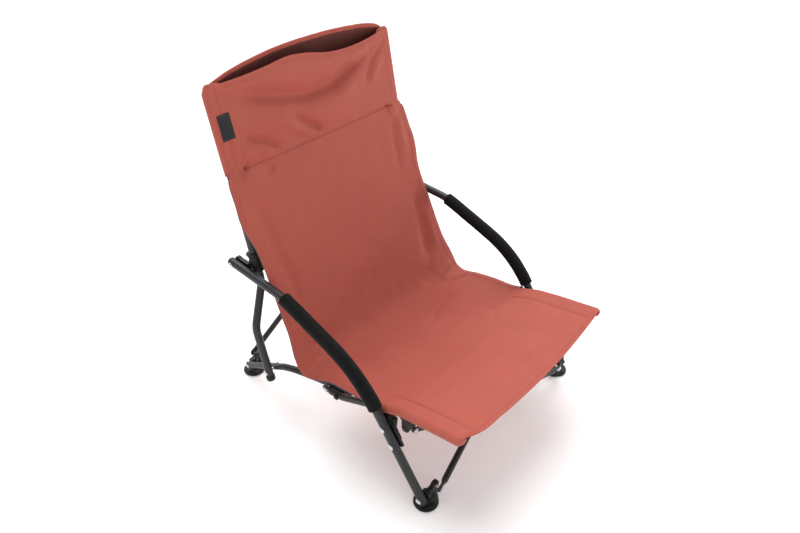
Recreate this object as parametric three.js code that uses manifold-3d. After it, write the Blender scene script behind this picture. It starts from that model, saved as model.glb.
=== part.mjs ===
// Low folding camp chair: a quad-fold tube frame that carries a one-piece fabric sling.
// Millimetres, +Z up, the sitter faces -Y. Inside the group, y = 0 is the line between the front feet.

import * as THREE from 'three';
import { mergeVertices } from 'three/addons/utils/BufferGeometryUtils.js';
import Module from 'manifold-3d';

const wasm = await Module();
wasm.setup();

// Driving dimensions.
const CENTRE_Y = 276.8;             // middle of the chair, behind the front feet
const FIT = 0.35;                  // gap left between neighbouring pieces
const FOOT = { x: 255, rearY: 570, discR: 27, discH: 8, pivotZ: 26, height: 47 };
const ARM = { x: 270, r: 9.5 };
const RAIL = { x: 270, r: 7.75, frontX: 246, frontR: 7.5 };
const POST = { x: 243, lowX: 290, r: 9, topY: 580, topZ: 745, lean: 0.2, bottomZ: 82 };
const CROSS = { frontX: 230, rearX: 238, r: 7, pinZ: 36, frontY: -17.4, rearY: 587.4, gap: 8.3 };
const RIVET = { r: 3, headR: 5.2, headH: 2.2 };
const CLOTH = { halfWidth: 249, thickness: 3 };
const POCKET = { bottomZ: 566, bulge: 26, arch: 26, wall: 2.4 };
const TAG = { across: 29, down: 52, thick: 1, x: -230.7, y: 547.6, z: 660 };
const GRIP = { r: 14.5, start: 226, stop: 527 };
const SLIDER = { r: 13.2, bottomZ: 345, length: 44, earX: 250.5, padX: 229 };
const CLIP = { rivets: [132, 173], middle: 155, length: 70, width: 20, thick: 6 };
const SHELF = { x: 247.5, y: 112, z: 179.8, width: 24, length: 26, thick: 8, tilt: -26.5 };
const KNUCKLE = { r: 8.5, width: 16, hornR: 5, bossR: 9, hangerHeight: 35 };
const HEAD_GAP = 0.4;               // gap between a rivet head and the tube under it
const BORE = [255, 285];            // reach of a side bore, across the arm tube and the rail

// Pivot points in the side plane, as [y, z].
const FRONT_PIVOT = [0, FOOT.pivotZ];
const REAR_PIVOT = [FOOT.rearY, FOOT.pivotZ];
const ARM_REAR_PIVOT = [548, 354];
const POST_PIVOT = [postY(101), 101];
const FRONT_CROSS_TOP = [55, 160];
const REAR_CROSS_TOP = [533, 368];
const KNUCKLE_PIVOT = [62, 177.1];
const LAP_PINS = [301, 262];
const CROSS_END = { lower: 9, upper: 6 };   // tube left beyond the pins

// Pin directions of the crossed tubes on the -X side; the other side mirrors them.
const FRONT_PIN_AXIS = new THREE.Vector3(0.1639, -0.9859, -0.0325).normalize();
const REAR_PIN_AXIS = new THREE.Vector3(0.1697, 0.9819, -0.0847).normalize();

// Directions of the two centre rivets in the side plane, as [y, z].
const CENTRE_PIN = { front: [0.9973, -0.0736], rear: [1, 0] };

const STEEL = material(0x3c3d3f, 0.5, 0.55);
const PLASTIC = material(0x17181a, 0.55, 0);
const FOAM = material(0x1d1e20, 0.95, 0);
const ZINC = material(0xc9ccd0, 0.25, 0.95);
const FABRIC = material(0xb65f4c, 0.9, 0);
const LABEL = material(0x15161a, 0.8, 0);

function material(color, roughness, metalness) {
  return new THREE.MeshStandardMaterial({ color, roughness, metalness });
}

function postY(z) {
  return POST.topY - POST.lean * (POST.topZ - z);
}

const chair = new THREE.Group();
chair.position.set(0, -CENTRE_Y, 0);

function add(name, geometry, look) {
  const mesh = new THREE.Mesh(geometry, look);
  mesh.name = name;
  chair.add(mesh);
  return mesh;
}

// Solids -------------------------------------------------------------------

function toSolid(geometry) {
  const bare = geometry.index ? geometry.toNonIndexed() : geometry.clone();
  bare.deleteAttribute('normal');
  bare.deleteAttribute('uv');
  const merged = mergeVertices(bare, 1e-4);
  return new wasm.Manifold(new wasm.Mesh({
    numProp: 3,
    vertProperties: new Float32Array(merged.attributes.position.array),
    triVerts: new Uint32Array(merged.index.array),
  }));
}

function toGeometry(solid) {
  const mesh = solid.getMesh();
  const geometry = new THREE.BufferGeometry();
  geometry.setAttribute('position', new THREE.BufferAttribute(mesh.vertProperties, 3));
  geometry.setIndex(new THREE.BufferAttribute(mesh.triVerts, 1));
  geometry.computeVertexNormals();
  return geometry;
}

function join(...geometries) {
  return toGeometry(geometries.map(toSolid).reduce((a, b) => a.add(b)));
}

function cut(geometry, ...tools) {
  return toGeometry(tools.map(toSolid).reduce((a, b) => a.subtract(b), toSolid(geometry)));
}

function circle(r, sides) {
  const points = [];
  for (let i = 0; i < sides; i++) {
    const a = (2 * Math.PI * i) / sides;
    points.push(new THREE.Vector2(r * Math.cos(a), r * Math.sin(a)));
  }
  return points;
}

// A curve that steps through its own points, so straight runs cost one step.
class Route extends THREE.Curve {
  constructor(points) {
    super();
    this.points = points;
  }

  getSpacedPoints() {
    return this.points.map((p) => p.clone());
  }

  getTangentAt(u, target = new THREE.Vector3()) {
    const i = Math.round(u * (this.points.length - 1));
    const before = this.points[Math.max(i - 1, 0)];
    const here = this.points[i];
    const after = this.points[Math.min(i + 1, this.points.length - 1)];
    const a = here.clone().sub(before).normalize();
    const b = after.clone().sub(here).normalize();
    return target.copy(a.add(b)).normalize();
  }
}

// Points of a bent tube: each inner corner is rounded to its bend radius.
function bent(corners, radii, arcSteps = 6) {
  const route = [corners[0].clone()];
  for (let i = 1; i < corners.length - 1; i++) {
    const inward = corners[i - 1].clone().sub(corners[i]).normalize();
    const outward = corners[i + 1].clone().sub(corners[i]).normalize();
    const half = inward.angleTo(outward) / 2;
    const radius = radii[i - 1];
    const centre = corners[i].clone()
      .addScaledVector(inward.clone().add(outward).normalize(), radius / Math.sin(half));
    const start = corners[i].clone().addScaledVector(inward, radius / Math.tan(half)).sub(centre);
    const end = corners[i].clone().addScaledVector(outward, radius / Math.tan(half)).sub(centre);
    const sweep = start.angleTo(end);
    for (let k = 0; k <= arcSteps; k++) {
      const t = k / arcSteps;
      route.push(start.clone().multiplyScalar(Math.sin((1 - t) * sweep))
        .addScaledVector(end, Math.sin(t * sweep)).divideScalar(Math.sin(sweep)).add(centre));
    }
  }
  route.push(corners[corners.length - 1].clone());
  return route;
}

function rod(points, r, sides = 12) {
  return new THREE.ExtrudeGeometry(new THREE.Shape(circle(r, sides)), {
    steps: points.length - 1,
    extrudePath: new Route(points),
    bevelEnabled: false,
  });
}

function sleeve(points, r, hole, sides = 14) {
  const ring = new THREE.Shape(circle(r, sides));
  ring.holes.push(new THREE.Path(circle(hole, sides).reverse()));
  return new THREE.ExtrudeGeometry(ring, {
    steps: points.length - 1,
    extrudePath: new Route(points),
    bevelEnabled: false,
  });
}

// The stretch of a route between two distances from its start.
function stretch(points, from, to) {
  const part = [];
  let run = 0;
  for (let i = 1; i < points.length; i++) {
    const step = points[i].distanceTo(points[i - 1]);
    const at = (s) => points[i - 1].clone().lerp(points[i], (s - run) / step);
    if (run <= from && from < run + step) part.push(at(from));
    if (run + step > from && run + step < to) part.push(points[i].clone());
    if (run < to && to <= run + step) part.push(at(to));
    run += step;
  }
  return part;
}

function aimed(geometry, direction, at) {
  const up = new THREE.Vector3(0, 1, 0);
  const turn = new THREE.Quaternion().setFromUnitVectors(up, direction.clone().normalize());
  return geometry.applyQuaternion(turn).translate(at.x, at.y, at.z);
}

function pinRod(from, to, r, sides = 12) {
  const axis = to.clone().sub(from);
  return aimed(new THREE.CylinderGeometry(r, r, axis.length(), sides), axis, from.clone().lerp(to, 0.5));
}

// A rivet with domed heads that lie outside the two end points.
function rivet(from, to, { headStart = true, headEnd = true } = {}) {
  const { r, headR, headH } = RIVET;
  const axis = to.clone().sub(from);
  const length = axis.length();
  const dome = (h) => [[headR, h * 0.02], [headR * 0.86, h * 0.6], [headR * 0.45, h * 0.95]];
  const profile = [new THREE.Vector2(0, headStart ? -headH : 0)];
  if (headStart) {
    profile.push(...dome(headH).reverse().map(([x, y]) => new THREE.Vector2(x, -y)));
  }
  profile.push(new THREE.Vector2(r, 0), new THREE.Vector2(r, length));
  if (headEnd) {
    profile.push(...dome(headH).map(([x, y]) => new THREE.Vector2(x, length + y)));
  }
  profile.push(new THREE.Vector2(0, headEnd ? length + headH : length));
  return aimed(new THREE.LatheGeometry(profile, 10), axis, from);
}

function box(x0, x1, y0, y1, z0, z1) {
  return new THREE.BoxGeometry(Math.abs(x1 - x0), Math.abs(y1 - y0), Math.abs(z1 - z0))
    .translate((x0 + x1) / 2, (y0 + y1) / 2, (z0 + z1) / 2);
}

// A closed end plug with a rounded nose, starting at a point and pointing along a direction.
function plug(at, direction, r, length) {
  const profile = [
    [0, 0], [r, 0], [r, length * 0.55], [r * 0.8, length * 0.85], [r * 0.4, length], [0, length],
  ].map(([x, y]) => new THREE.Vector2(x, y));
  return aimed(new THREE.LatheGeometry(profile, 12), direction, at);
}

// Shared routes --------------------------------------------------------------

const V = (x, y, z) => new THREE.Vector3(x, y, z);

// Unit direction in the side plane at an angle above the rearward horizontal.
function slope(degrees) {
  const a = THREE.MathUtils.degToRad(degrees);
  return V(0, Math.cos(a), Math.sin(a));
}

const LEG_DIR = slope(55.2);

function armRoute(s) {
  const foot = V(s * ARM.x, ...FRONT_PIVOT).addScaledVector(LEG_DIR, -9);
  const rear = V(s * ARM.x, ARM_REAR_PIVOT[0] + 8, ARM_REAR_PIVOT[1] + 0.5);
  return bent([foot, V(s * ARM.x, 171, 272), V(s * ARM.x, 382, 346), rear], [250, 180], 7);
}

// Rear half of the seat rail: straight beside the rear foot, then inward to lap the front half.
function rearRailRoute(s) {
  const lapX = RAIL.frontX - RAIL.frontR - RAIL.r - FIT;
  return bent([
    V(s * RAIL.x, REAR_PIVOT[0] + 8, REAR_PIVOT[1] - 5.1), V(s * RAIL.x, 396, 136),
    V(s * lapX, 334, 107), V(s * lapX, 236, lapZ(236)),
  ], [60, 35], 5);
}

// Height of the front half of the rail along its straight rear run.
function lapZ(y) {
  return 112 + (312 - y) * 0.214;
}

function frontRailRoute(s) {
  const corner = (y, z) => V(s * RAIL.frontX, y, z);
  const corners = [corner(312, lapZ(312)), corner(248, lapZ(248)), corner(75, 212), corner(-58, 240)];
  return bent(corners, [60, 200], 4);
}

function postRoute(s) {
  return bent([
    V(s * POST.lowX, postY(POST.bottomZ), POST.bottomZ), V(s * POST.lowX, postY(220), 220),
    V(s * POST.x, postY(316), 316), V(s * POST.x, POST.topY, POST.topZ),
  ], [70, 70], 4);
}

// Crossed tubes run from a foot to the far side, bowed so that the pair clears at the middle.
function crossRoute(s, x, lower, upper, axis, bow) {
  const from = V(s * x, lower[0], lower[1]);
  const to = V(-s * x, upper[0], upper[1]);
  const dir = to.clone().sub(from).normalize();
  const normal = V(0, ...axis).normalize();
  const route = [];
  for (let k = 0; k <= 10; k++) {
    const t = k / 10;
    route.push(from.clone().lerp(to, t).addScaledVector(normal, bow * Math.sin(Math.PI * t)));
  }
  route[0].addScaledVector(dir, -CROSS_END.lower);
  route[10].addScaledVector(dir, CROSS_END.upper);
  return route;
}

const across = (y, z, x0, x1, s) => [V(s * x0, y, z), V(s * x1, y, z)];
const mirrored = (axis, s) => V(-s * axis.x, axis.y, axis.z);

function crossPinEnds(x, at, axis, reach) {
  const centre = V(x, at[0], at[1]);
  return [centre.clone().addScaledVector(axis, reach[0]), centre.clone().addScaledVector(axis, reach[1])];
}

// Feet -----------------------------------------------------------------------

// Moulded foot: a disc pad and a block that takes the side tube outside and the cross tube on its end face.
function foot(name, s, y, face) {
  const { discR, discH, height } = FOOT;
  const disc = new THREE.LatheGeometry([
    [0, 0], [discR - 1.5, 0], [discR, 1.5], [discR, 4.5],
    [discR - 5, discH - 1], [discR - 8, discH], [0, discH],
  ].map(([r, z]) => new THREE.Vector2(r, z)), 28).rotateX(Math.PI / 2).translate(s * FOOT.x, y, 0);
  const pinX = s * (face < 0 ? CROSS.frontX : CROSS.rearX);
  const block = box(pinX - s * 8, s * (ARM.x - ARM.r - FIT), y + face * 7, y - face * 11, 3, height);
  const cheek = pinRod(...across(y, FOOT.pivotZ, 246, ARM.x - ARM.r - FIT, s), 12, 16);
  const pinY = face < 0 ? CROSS.frontY : CROSS.rearY;
  const axis = mirrored(face < 0 ? FRONT_PIN_AXIS : REAR_PIN_AXIS, s);
  const body = join(disc, block, cheek);
  const sideHole = pinRod(...across(y, FOOT.pivotZ, 215, 290, s), RIVET.r + FIT);
  const crossHole = pinRod(...crossPinEnds(pinX, [pinY, CROSS.pinZ], axis, [12, -20 - FIT]), RIVET.r + FIT);
  add(name, cut(body, sideHole, crossHole), PLASTIC);
  const sideEnds = across(y, FOOT.pivotZ, Math.abs(pinX) - 9, ARM.x + ARM.r + HEAD_GAP, s);
  add(`${name}_side_pin`, rivet(...sideEnds), ZINC);
  add(`${name}_cross_pin`, rivet(...crossPinEnds(pinX, [pinY, CROSS.pinZ], axis, [CROSS.r + 0.6, -20]),
    { headEnd: false }), ZINC);
}

// Side frames ------------------------------------------------------------------

function armSet(side, s) {
  const route = armRoute(s);
  const clipAt = (d) => V(s * ARM.x, ...FRONT_PIVOT).addScaledVector(LEG_DIR, d);
  const outside = (p, x) => V(s * x, p.y, p.z);
  const rivetAt = CLIP.rivets.map(clipAt);
  const holes = [
    pinRod(...across(...FRONT_PIVOT, ...BORE, s), RIVET.r + FIT),
    pinRod(...across(...ARM_REAR_PIVOT, ...BORE, s), RIVET.r + FIT),
    ...rivetAt.map((p) => pinRod(outside(p, BORE[0]), outside(p, BORE[1]), RIVET.r + FIT)),
  ];
  add(`arm_tube_${side}`, cut(rod(route, ARM.r, 14), ...holes), STEEL);
  add(`arm_grip_${side}`, sleeve(stretch(route, GRIP.start, GRIP.stop), GRIP.r, ARM.r + FIT), FOAM);
  const rearEnd = route[route.length - 1];
  const rearDir = rearEnd.clone().sub(route[route.length - 2]).normalize();
  add(`arm_end_cap_${side}`, plug(rearEnd.clone().addScaledVector(rearDir, FIT), rearDir, ARM.r, 5), PLASTIC);

  // Leg clip: a saddle on the inner face of the leg with a shelf that the open rail rests on.
  const middle = clipAt(CLIP.middle);
  const tilt = Math.atan2(LEG_DIR.z, LEG_DIR.y);
  const saddle = new THREE.BoxGeometry(CLIP.thick, CLIP.length, CLIP.width).rotateX(tilt)
    .translate(s * (ARM.x - ARM.r - FIT - CLIP.thick / 2), middle.y, middle.z);
  const shelf = new THREE.BoxGeometry(SHELF.width, SHELF.length, SHELF.thick)
    .rotateX(THREE.MathUtils.degToRad(SHELF.tilt)).translate(s * SHELF.x, SHELF.y, SHELF.z);
  const clipHoles = rivetAt.map((p) => pinRod(outside(p, 240), outside(p, BORE[1]), RIVET.r + FIT));
  add(`leg_clip_${side}`, cut(join(saddle, shelf), ...clipHoles), PLASTIC);
  const backX = ARM.x - ARM.r - FIT - CLIP.thick - HEAD_GAP;
  ['lower', 'upper'].forEach((place, i) => {
    const ends = [outside(rivetAt[i], backX), outside(rivetAt[i], ARM.x + ARM.r + HEAD_GAP)];
    add(`leg_clip_rivet_${place}_${side}`, rivet(...ends, { headStart: false }), ZINC);
  });
}

function sliderSet(side, s) {
  const up = V(0, POST.lean, 1).normalize();
  const low = V(s * POST.x, postY(SLIDER.bottomZ), SLIDER.bottomZ);
  const high = low.clone().addScaledVector(up, SLIDER.length);
  const ear = box(s * SLIDER.earX, s * (ARM.x - ARM.r - FIT), 510, ARM_REAR_PIVOT[0], 343, 365);
  const eye = pinRod(...across(...ARM_REAR_PIVOT, SLIDER.earX, ARM.x - ARM.r - FIT, s), 11, 16);
  const pad = box(s * SLIDER.padX, s * 252, 508, REAR_CROSS_TOP[0] - CROSS.r - 4.5, 356, 382);
  const boreEnds = [low.clone().addScaledVector(up, -9), high.clone().addScaledVector(up, 9)];
  const bore = pinRod(...boreEnds, POST.r + FIT, 16);
  const hole = pinRod(...across(...ARM_REAR_PIVOT, 240, BORE[1], s), RIVET.r + FIT);
  add(`slider_${side}`, cut(join(pinRod(low, high, SLIDER.r, 18), ear, eye, pad), bore, hole), PLASTIC);
  const ends = across(...ARM_REAR_PIVOT, SLIDER.earX - 0.7, ARM.x + ARM.r + HEAD_GAP, s);
  add(`slider_rivet_${side}`, rivet(...ends), ZINC);
}

function postSet(side, s) {
  const route = postRoute(s);
  const hole = pinRod(...across(...POST_PIVOT, 270, 305, s), RIVET.r + FIT);
  add(`back_post_${side}`, cut(rod(route, POST.r, 14), hole), STEEL);
  const down = V(0, -POST.lean, -1).normalize();
  const capStart = route[0].clone().addScaledVector(down, FIT);
  add(`post_foot_cap_${side}`, plug(capStart, down, POST.r + 0.8, 7), PLASTIC);
}

function railSet(side, s) {
  const holeR = RIVET.r + FIT;
  const lapHoles = LAP_PINS.map((y) => pinRod(...across(y, lapZ(y), 205, 275, s), holeR));
  const footHole = pinRod(...across(...REAR_PIVOT, ...BORE, s), holeR);
  const postHole = pinRod(...across(...POST_PIVOT, ...BORE, s), holeR);
  const knuckleHole = pinRod(...across(...KNUCKLE_PIVOT, 215, 260, s), holeR);
  add(`rear_rail_${side}`, cut(rod(rearRailRoute(s), RAIL.r), footHole, postHole, ...lapHoles), STEEL);
  add(`front_rail_${side}`, cut(rod(frontRailRoute(s), RAIL.frontR), knuckleHole, ...lapHoles), STEEL);
  const innerX = RAIL.frontX - RAIL.frontR - 2 * RAIL.r - FIT - HEAD_GAP;
  const outerX = RAIL.frontX + RAIL.frontR + HEAD_GAP;
  add(`rail_lap_rivet_${side}`, rivet(...across(LAP_PINS[0], lapZ(LAP_PINS[0]), innerX, outerX, s)), ZINC);
  add(`rail_lap_bolt_${side}`, rivet(...across(LAP_PINS[1], lapZ(LAP_PINS[1]), innerX, outerX, s)),
    PLASTIC);
  const outer = POST.lowX + POST.r + HEAD_GAP;
  add(`post_pivot_pin_${side}`, rivet(...across(...POST_PIVOT, RAIL.x - RAIL.r - HEAD_GAP, outer, s)), ZINC);
}

// Hanger below the seat rail, and the knuckle that it carries for the upper end of a front cross tube.
function knuckle(side, s) {
  const [y, z] = KNUCKLE_PIVOT;
  const inner = RAIL.frontX - RAIL.frontR - FIT;
  const eye = pinRod(...across(y, z, inner - KNUCKLE.width, inner, s), KNUCKLE.r, 16);
  const reach = Math.hypot(y - FRONT_CROSS_TOP[0], z - FRONT_CROSS_TOP[1]);
  const hornX = s * (inner - KNUCKLE.width / 2);
  const hornY = y + ((FRONT_CROSS_TOP[0] - y) * 10.3) / reach;
  const hornZ = z + ((FRONT_CROSS_TOP[1] - z) * 9.4) / reach;
  const horn = pinRod(V(hornX, y, z), V(hornX, hornY, hornZ), KNUCKLE.hornR, 10);
  const hole = pinRod(...across(y, z, 215, 260, s), RIVET.r + FIT);
  const half = RAIL.frontR - 0.5;
  const bar = box(s * (RAIL.frontX - half), s * (RAIL.frontX + half), y - KNUCKLE.bossR, y + KNUCKLE.bossR,
    z, z + KNUCKLE.hangerHeight);
  const boss = pinRod(...across(y, z, RAIL.frontX - half, RAIL.frontX + half, s), KNUCKLE.bossR, 16);
  const seatCut = rod(frontRailRoute(s), RAIL.frontR + FIT);
  const above = box(s * 225, s * 265, y - 20, y + 20, z + KNUCKLE.hangerHeight + 1,
    z + KNUCKLE.hangerHeight + 25);
  add(`rail_hanger_${side}`, cut(join(bar, boss), hole, seatCut, above), PLASTIC);
  add(`cross_knuckle_${side}`, cut(join(eye, horn), hole), PLASTIC);
  const innerEnd = inner - KNUCKLE.width - HEAD_GAP;
  const outerEnd = RAIL.frontX + RAIL.frontR + HEAD_GAP;
  add(`knuckle_rivet_${side}`, rivet(...across(y, z, innerEnd, outerEnd, s)), ZINC);
}

// Crossed tubes ------------------------------------------------------------------

function crossTube(name, s, end, bow) {
  const front = end === 'front';
  const lower = [front ? CROSS.frontY : CROSS.rearY, CROSS.pinZ];
  const upper = front ? FRONT_CROSS_TOP : REAR_CROSS_TOP;
  const axis = front ? FRONT_PIN_AXIS : REAR_PIN_AXIS;
  const x = front ? CROSS.frontX : CROSS.rearX;
  const footHole = pinRod(...crossPinEnds(s * x, lower, mirrored(axis, s), [-20, 20]), RIVET.r + FIT);
  const route = crossRoute(s, x, lower, upper, CENTRE_PIN[end], bow);
  const middleHole = pinRod(...centrePinEnds(end, 25), RIVET.r + FIT);
  add(name, cut(rod(route, CROSS.r), footHole, middleHole), STEEL);
}

function centrePinEnds(end, reach) {
  const front = end === 'front';
  const lower = [front ? CROSS.frontY : CROSS.rearY, CROSS.pinZ];
  const upper = front ? FRONT_CROSS_TOP : REAR_CROSS_TOP;
  const centre = V(0, (lower[0] + upper[0]) / 2, (lower[1] + upper[1]) / 2);
  const axis = V(0, ...CENTRE_PIN[end]).normalize();
  return [centre.clone().addScaledVector(axis, -reach), centre.clone().addScaledVector(axis, reach)];
}

// Fabric sling -------------------------------------------------------------------

// Side line of the sling, front of seat last, as [y, z].
const SLING = {
  back: [
    [567, 741], [533, 569], [509, 508], [488, 454], [465, 398], [440, 346],
    [404, 263], [378, 210], [364, 184],
  ],
  lumbar: [[364, 184], [349, 158], [337, 149.5]],
  seat: [
    [337, 149.5], [314, 151], [291, 160.5], [266, 170.5], [240, 176], [209, 181],
    [177, 184.5], [150, 190.5], [80, 220.5], [0, 238.5], [-70, 253.5],
  ],
};

// A sheet that follows a side line across the full width, with its own thickness.
function sheet(points, halfWidth) {
  const line = points.map(([y, z]) => V(0, y, z));
  const half = CLOTH.thickness / 2;
  const outline = [];
  const back = [];
  line.forEach((p, i) => {
    const dir = line[Math.min(i + 1, line.length - 1)].clone().sub(line[Math.max(i - 1, 0)]).normalize();
    const normal = new THREE.Vector2(-dir.z, dir.y).multiplyScalar(half);
    outline.push(new THREE.Vector2(p.y + normal.x, p.z + normal.y));
    back.unshift(new THREE.Vector2(p.y - normal.x, p.z - normal.y));
  });
  const turn = new THREE.Matrix4().makeBasis(V(0, 1, 0), V(0, 0, 1), V(1, 0, 0));
  return new THREE.ExtrudeGeometry(new THREE.Shape([...outline, ...back]), {
    depth: 2 * halfWidth, bevelEnabled: false,
  }).applyMatrix4(turn).translate(-halfWidth, 0, 0);
}

// Trims the ends of a side line so that neighbouring sheets keep a gap.
function trimmed(points, start, end) {
  const line = points.map(([y, z]) => V(0, y, z));
  const total = line.slice(1).reduce((sum, p, i) => sum + p.distanceTo(line[i]), 0);
  return stretch(line, start, total - end).map((p) => [p.y, p.z]);
}

// Rear wall of the head pocket: it wraps both posts, and it bulges and arches towards its open top.
function headPocket() {
  const inner = POST.r + 1.2;
  const side = POST.x + inner;
  const shoulder = side - 11;
  const plan = [[-side, -inner + 4], [-side, 2], [-side + 4, inner - 2], [-shoulder, inner]];
  for (let k = 1; k < 8; k++) {
    plan.push([(k / 4 - 1) * shoulder, inner]);
  }
  plan.push([shoulder, inner], [side - 4, inner - 2], [side, 2], [side, -inner + 4]);
  const outer = plan.map(([x, y], i) => {
    const a = plan[Math.max(i - 1, 0)];
    const b = plan[Math.min(i + 1, plan.length - 1)];
    const length = Math.hypot(b[0] - a[0], b[1] - a[1]);
    return [x - ((b[1] - a[1]) / length) * POCKET.wall, y + ((b[0] - a[0]) / length) * POCKET.wall];
  });
  const outline = [...plan, ...outer.reverse()].map(([x, y]) => new THREE.Vector2(x, y));
  const height = POST.topZ - POCKET.bottomZ;
  const solid = new THREE.ExtrudeGeometry(new THREE.Shape(outline), { depth: height, bevelEnabled: false });
  const position = solid.attributes.position;
  for (let i = 0; i < position.count; i++) {
    const x = position.getX(i);
    const share = position.getZ(i) / height;
    const bulge = Math.abs(x) < shoulder ? POCKET.bulge * Math.cos((Math.PI / 2) * (x / shoulder)) : 0;
    const arch = POCKET.arch * Math.max(0, 1 - (x / side) ** 2);
    const z = position.getZ(i) + arch * share;
    position.setXYZ(i, x, position.getY(i) + bulge * share + POST.lean * z, z);
  }
  return solid.translate(0, postY(POCKET.bottomZ), POCKET.bottomZ);
}

function sling() {
  add('sling_back', sheet(trimmed(SLING.back, 0, 0.8), CLOTH.halfWidth), FABRIC);
  add('sling_lumbar', sheet(trimmed(SLING.lumbar, 0.8, 0.8), CLOTH.halfWidth), FABRIC);
  add('sling_seat', sheet(trimmed(SLING.seat, 0.8, 0), CLOTH.halfWidth), FABRIC);
  add('head_pocket', headPocket(), FABRIC);
  const tilt = -Math.atan(POST.lean);
  const tag = new THREE.BoxGeometry(TAG.across, TAG.thick, TAG.down);
  tag.rotateX(tilt).translate(TAG.x, TAG.y, TAG.z);
  add('side_label', tag, LABEL);
}

for (const [side, s] of [['left', -1], ['right', 1]]) {
  foot(`front_foot_${side}`, s, 0, -1);
  foot(`rear_foot_${side}`, s, FOOT.rearY, 1);
  armSet(side, s);
  sliderSet(side, s);
  postSet(side, s);
  railSet(side, s);
  knuckle(side, s);
}
crossTube('front_cross_tube_a', -1, 'front', CROSS.gap);
crossTube('front_cross_tube_b', 1, 'front', -CROSS.gap);
crossTube('rear_cross_tube_a', -1, 'rear', CROSS.gap);
crossTube('rear_cross_tube_b', 1, 'rear', -CROSS.gap);
const centreReach = CROSS.gap + CROSS.r + 0.8;
add('front_cross_rivet', rivet(...centrePinEnds('front', centreReach)), ZINC);
for (const [name, sign] of [['a', 1], ['b', -1]]) {
  const [inside, outside] = [0.4, centreReach].map((reach) => centrePinEnds('rear', reach * sign)[1]);
  add(`rear_cross_rivet_${name}`, rivet(inside, outside, { headStart: false }), ZINC);
}
sling();

export default chair;
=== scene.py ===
# Low folding camp chair: the fabric sling, foam, tubes and fittings that show, built round the CAD frame.
import math
from itertools import product

import bpy
import numpy as np
from mathutils import Matrix, Vector, noise


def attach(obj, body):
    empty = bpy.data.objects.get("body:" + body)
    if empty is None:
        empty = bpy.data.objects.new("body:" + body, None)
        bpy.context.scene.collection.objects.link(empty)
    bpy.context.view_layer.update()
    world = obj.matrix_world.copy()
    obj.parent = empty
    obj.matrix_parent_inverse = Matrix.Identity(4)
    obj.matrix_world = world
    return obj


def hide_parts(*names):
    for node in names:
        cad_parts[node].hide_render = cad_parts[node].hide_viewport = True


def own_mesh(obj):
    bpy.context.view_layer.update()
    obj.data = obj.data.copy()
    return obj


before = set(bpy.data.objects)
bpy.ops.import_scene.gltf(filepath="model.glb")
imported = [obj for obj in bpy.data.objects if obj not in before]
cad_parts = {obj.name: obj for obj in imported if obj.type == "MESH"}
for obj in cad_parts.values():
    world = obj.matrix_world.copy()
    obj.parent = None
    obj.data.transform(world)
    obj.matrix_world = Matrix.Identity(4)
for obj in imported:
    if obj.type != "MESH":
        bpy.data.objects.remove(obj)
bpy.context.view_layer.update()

# Shared dimensions in millimetres. y = 0 is the line between the front feet until P() moves it.
# POST_SHOWN_Z is where the visible post ends inside the head pocket, and TIP_CUT shortens the visible seat
# rails inside their casings, so that neither pokes through the cloth.
CENTRE_Y = 276.8
FIT = 0.35
FOOT_X, REAR_FOOT_Y, PIVOT_Z = 255.0, 570.0, 26.0
ARM_X, ARM_R = 270.0, 9.5
ARM_FACE = ARM_X - ARM_R - FIT
RAIL_X, RAIL_R = 270.0, 7.75
FRONT_RAIL_X, FRONT_RAIL_R = 246.0, 7.5
POST_X, POST_LOW_X, POST_R, POST_LEAN = 243.0, 290.0, 9.0, 0.2
POST_TOP_Z, POST_SHOWN_Z = 745.0, 724.0
SLIDER_Z, SLIDER_HEIGHT = 345.0, 44.0
TIP_CUT = 26.0
CROSS_R, CROSS_GAP, CROSS_PIN_Z = 7.0, 8.3, 36.0
# The crossed tubes: their pins' places, the direction in which they bow past each other, and the axes of their
# lower pins on the -X side, square to the tubes.
FRONT_CROSS = {"x": 230.0, "y": -17.4, "top": (55.0, 160.0), "normal": (0.9973, -0.0736)}
REAR_CROSS = {"x": 238.0, "y": 587.4, "top": (533.0, 368.0), "normal": (1.0, 0.0)}
FRONT_PIN_AXIS = Vector((0.1639, -0.9859, -0.0325)).normalized()
REAR_PIN_AXIS = Vector((0.1697, 0.9819, -0.0847)).normalized()
KNUCKLE = (62.0, 177.1)
LAP_PINS = (301.0, 262.0)
ARM_REAR_PIVOT = (548.0, 354.0)
GRIP_RUN, GRIP_R = (226, 527), 15.0
CLIP_MIDDLE, CLIP_RIVETS, CLIP_HALF = 155, (132, 173), 35
SIDES = (("left", -1), ("right", 1))
ACROSS, UP = Vector((1, 0, 0)), Vector((0, 0, 1))


def P(x, y, z):
    """A point of the chair in metres, in the shared frame."""
    return Vector((x, y - CENTRE_Y, z)) / 1000


def post_y(z):
    return 580 - POST_LEAN * (POST_TOP_Z - z)


POST_PIVOT = (post_y(101), 101.0)


# Materials ------------------------------------------------------------------

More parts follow.
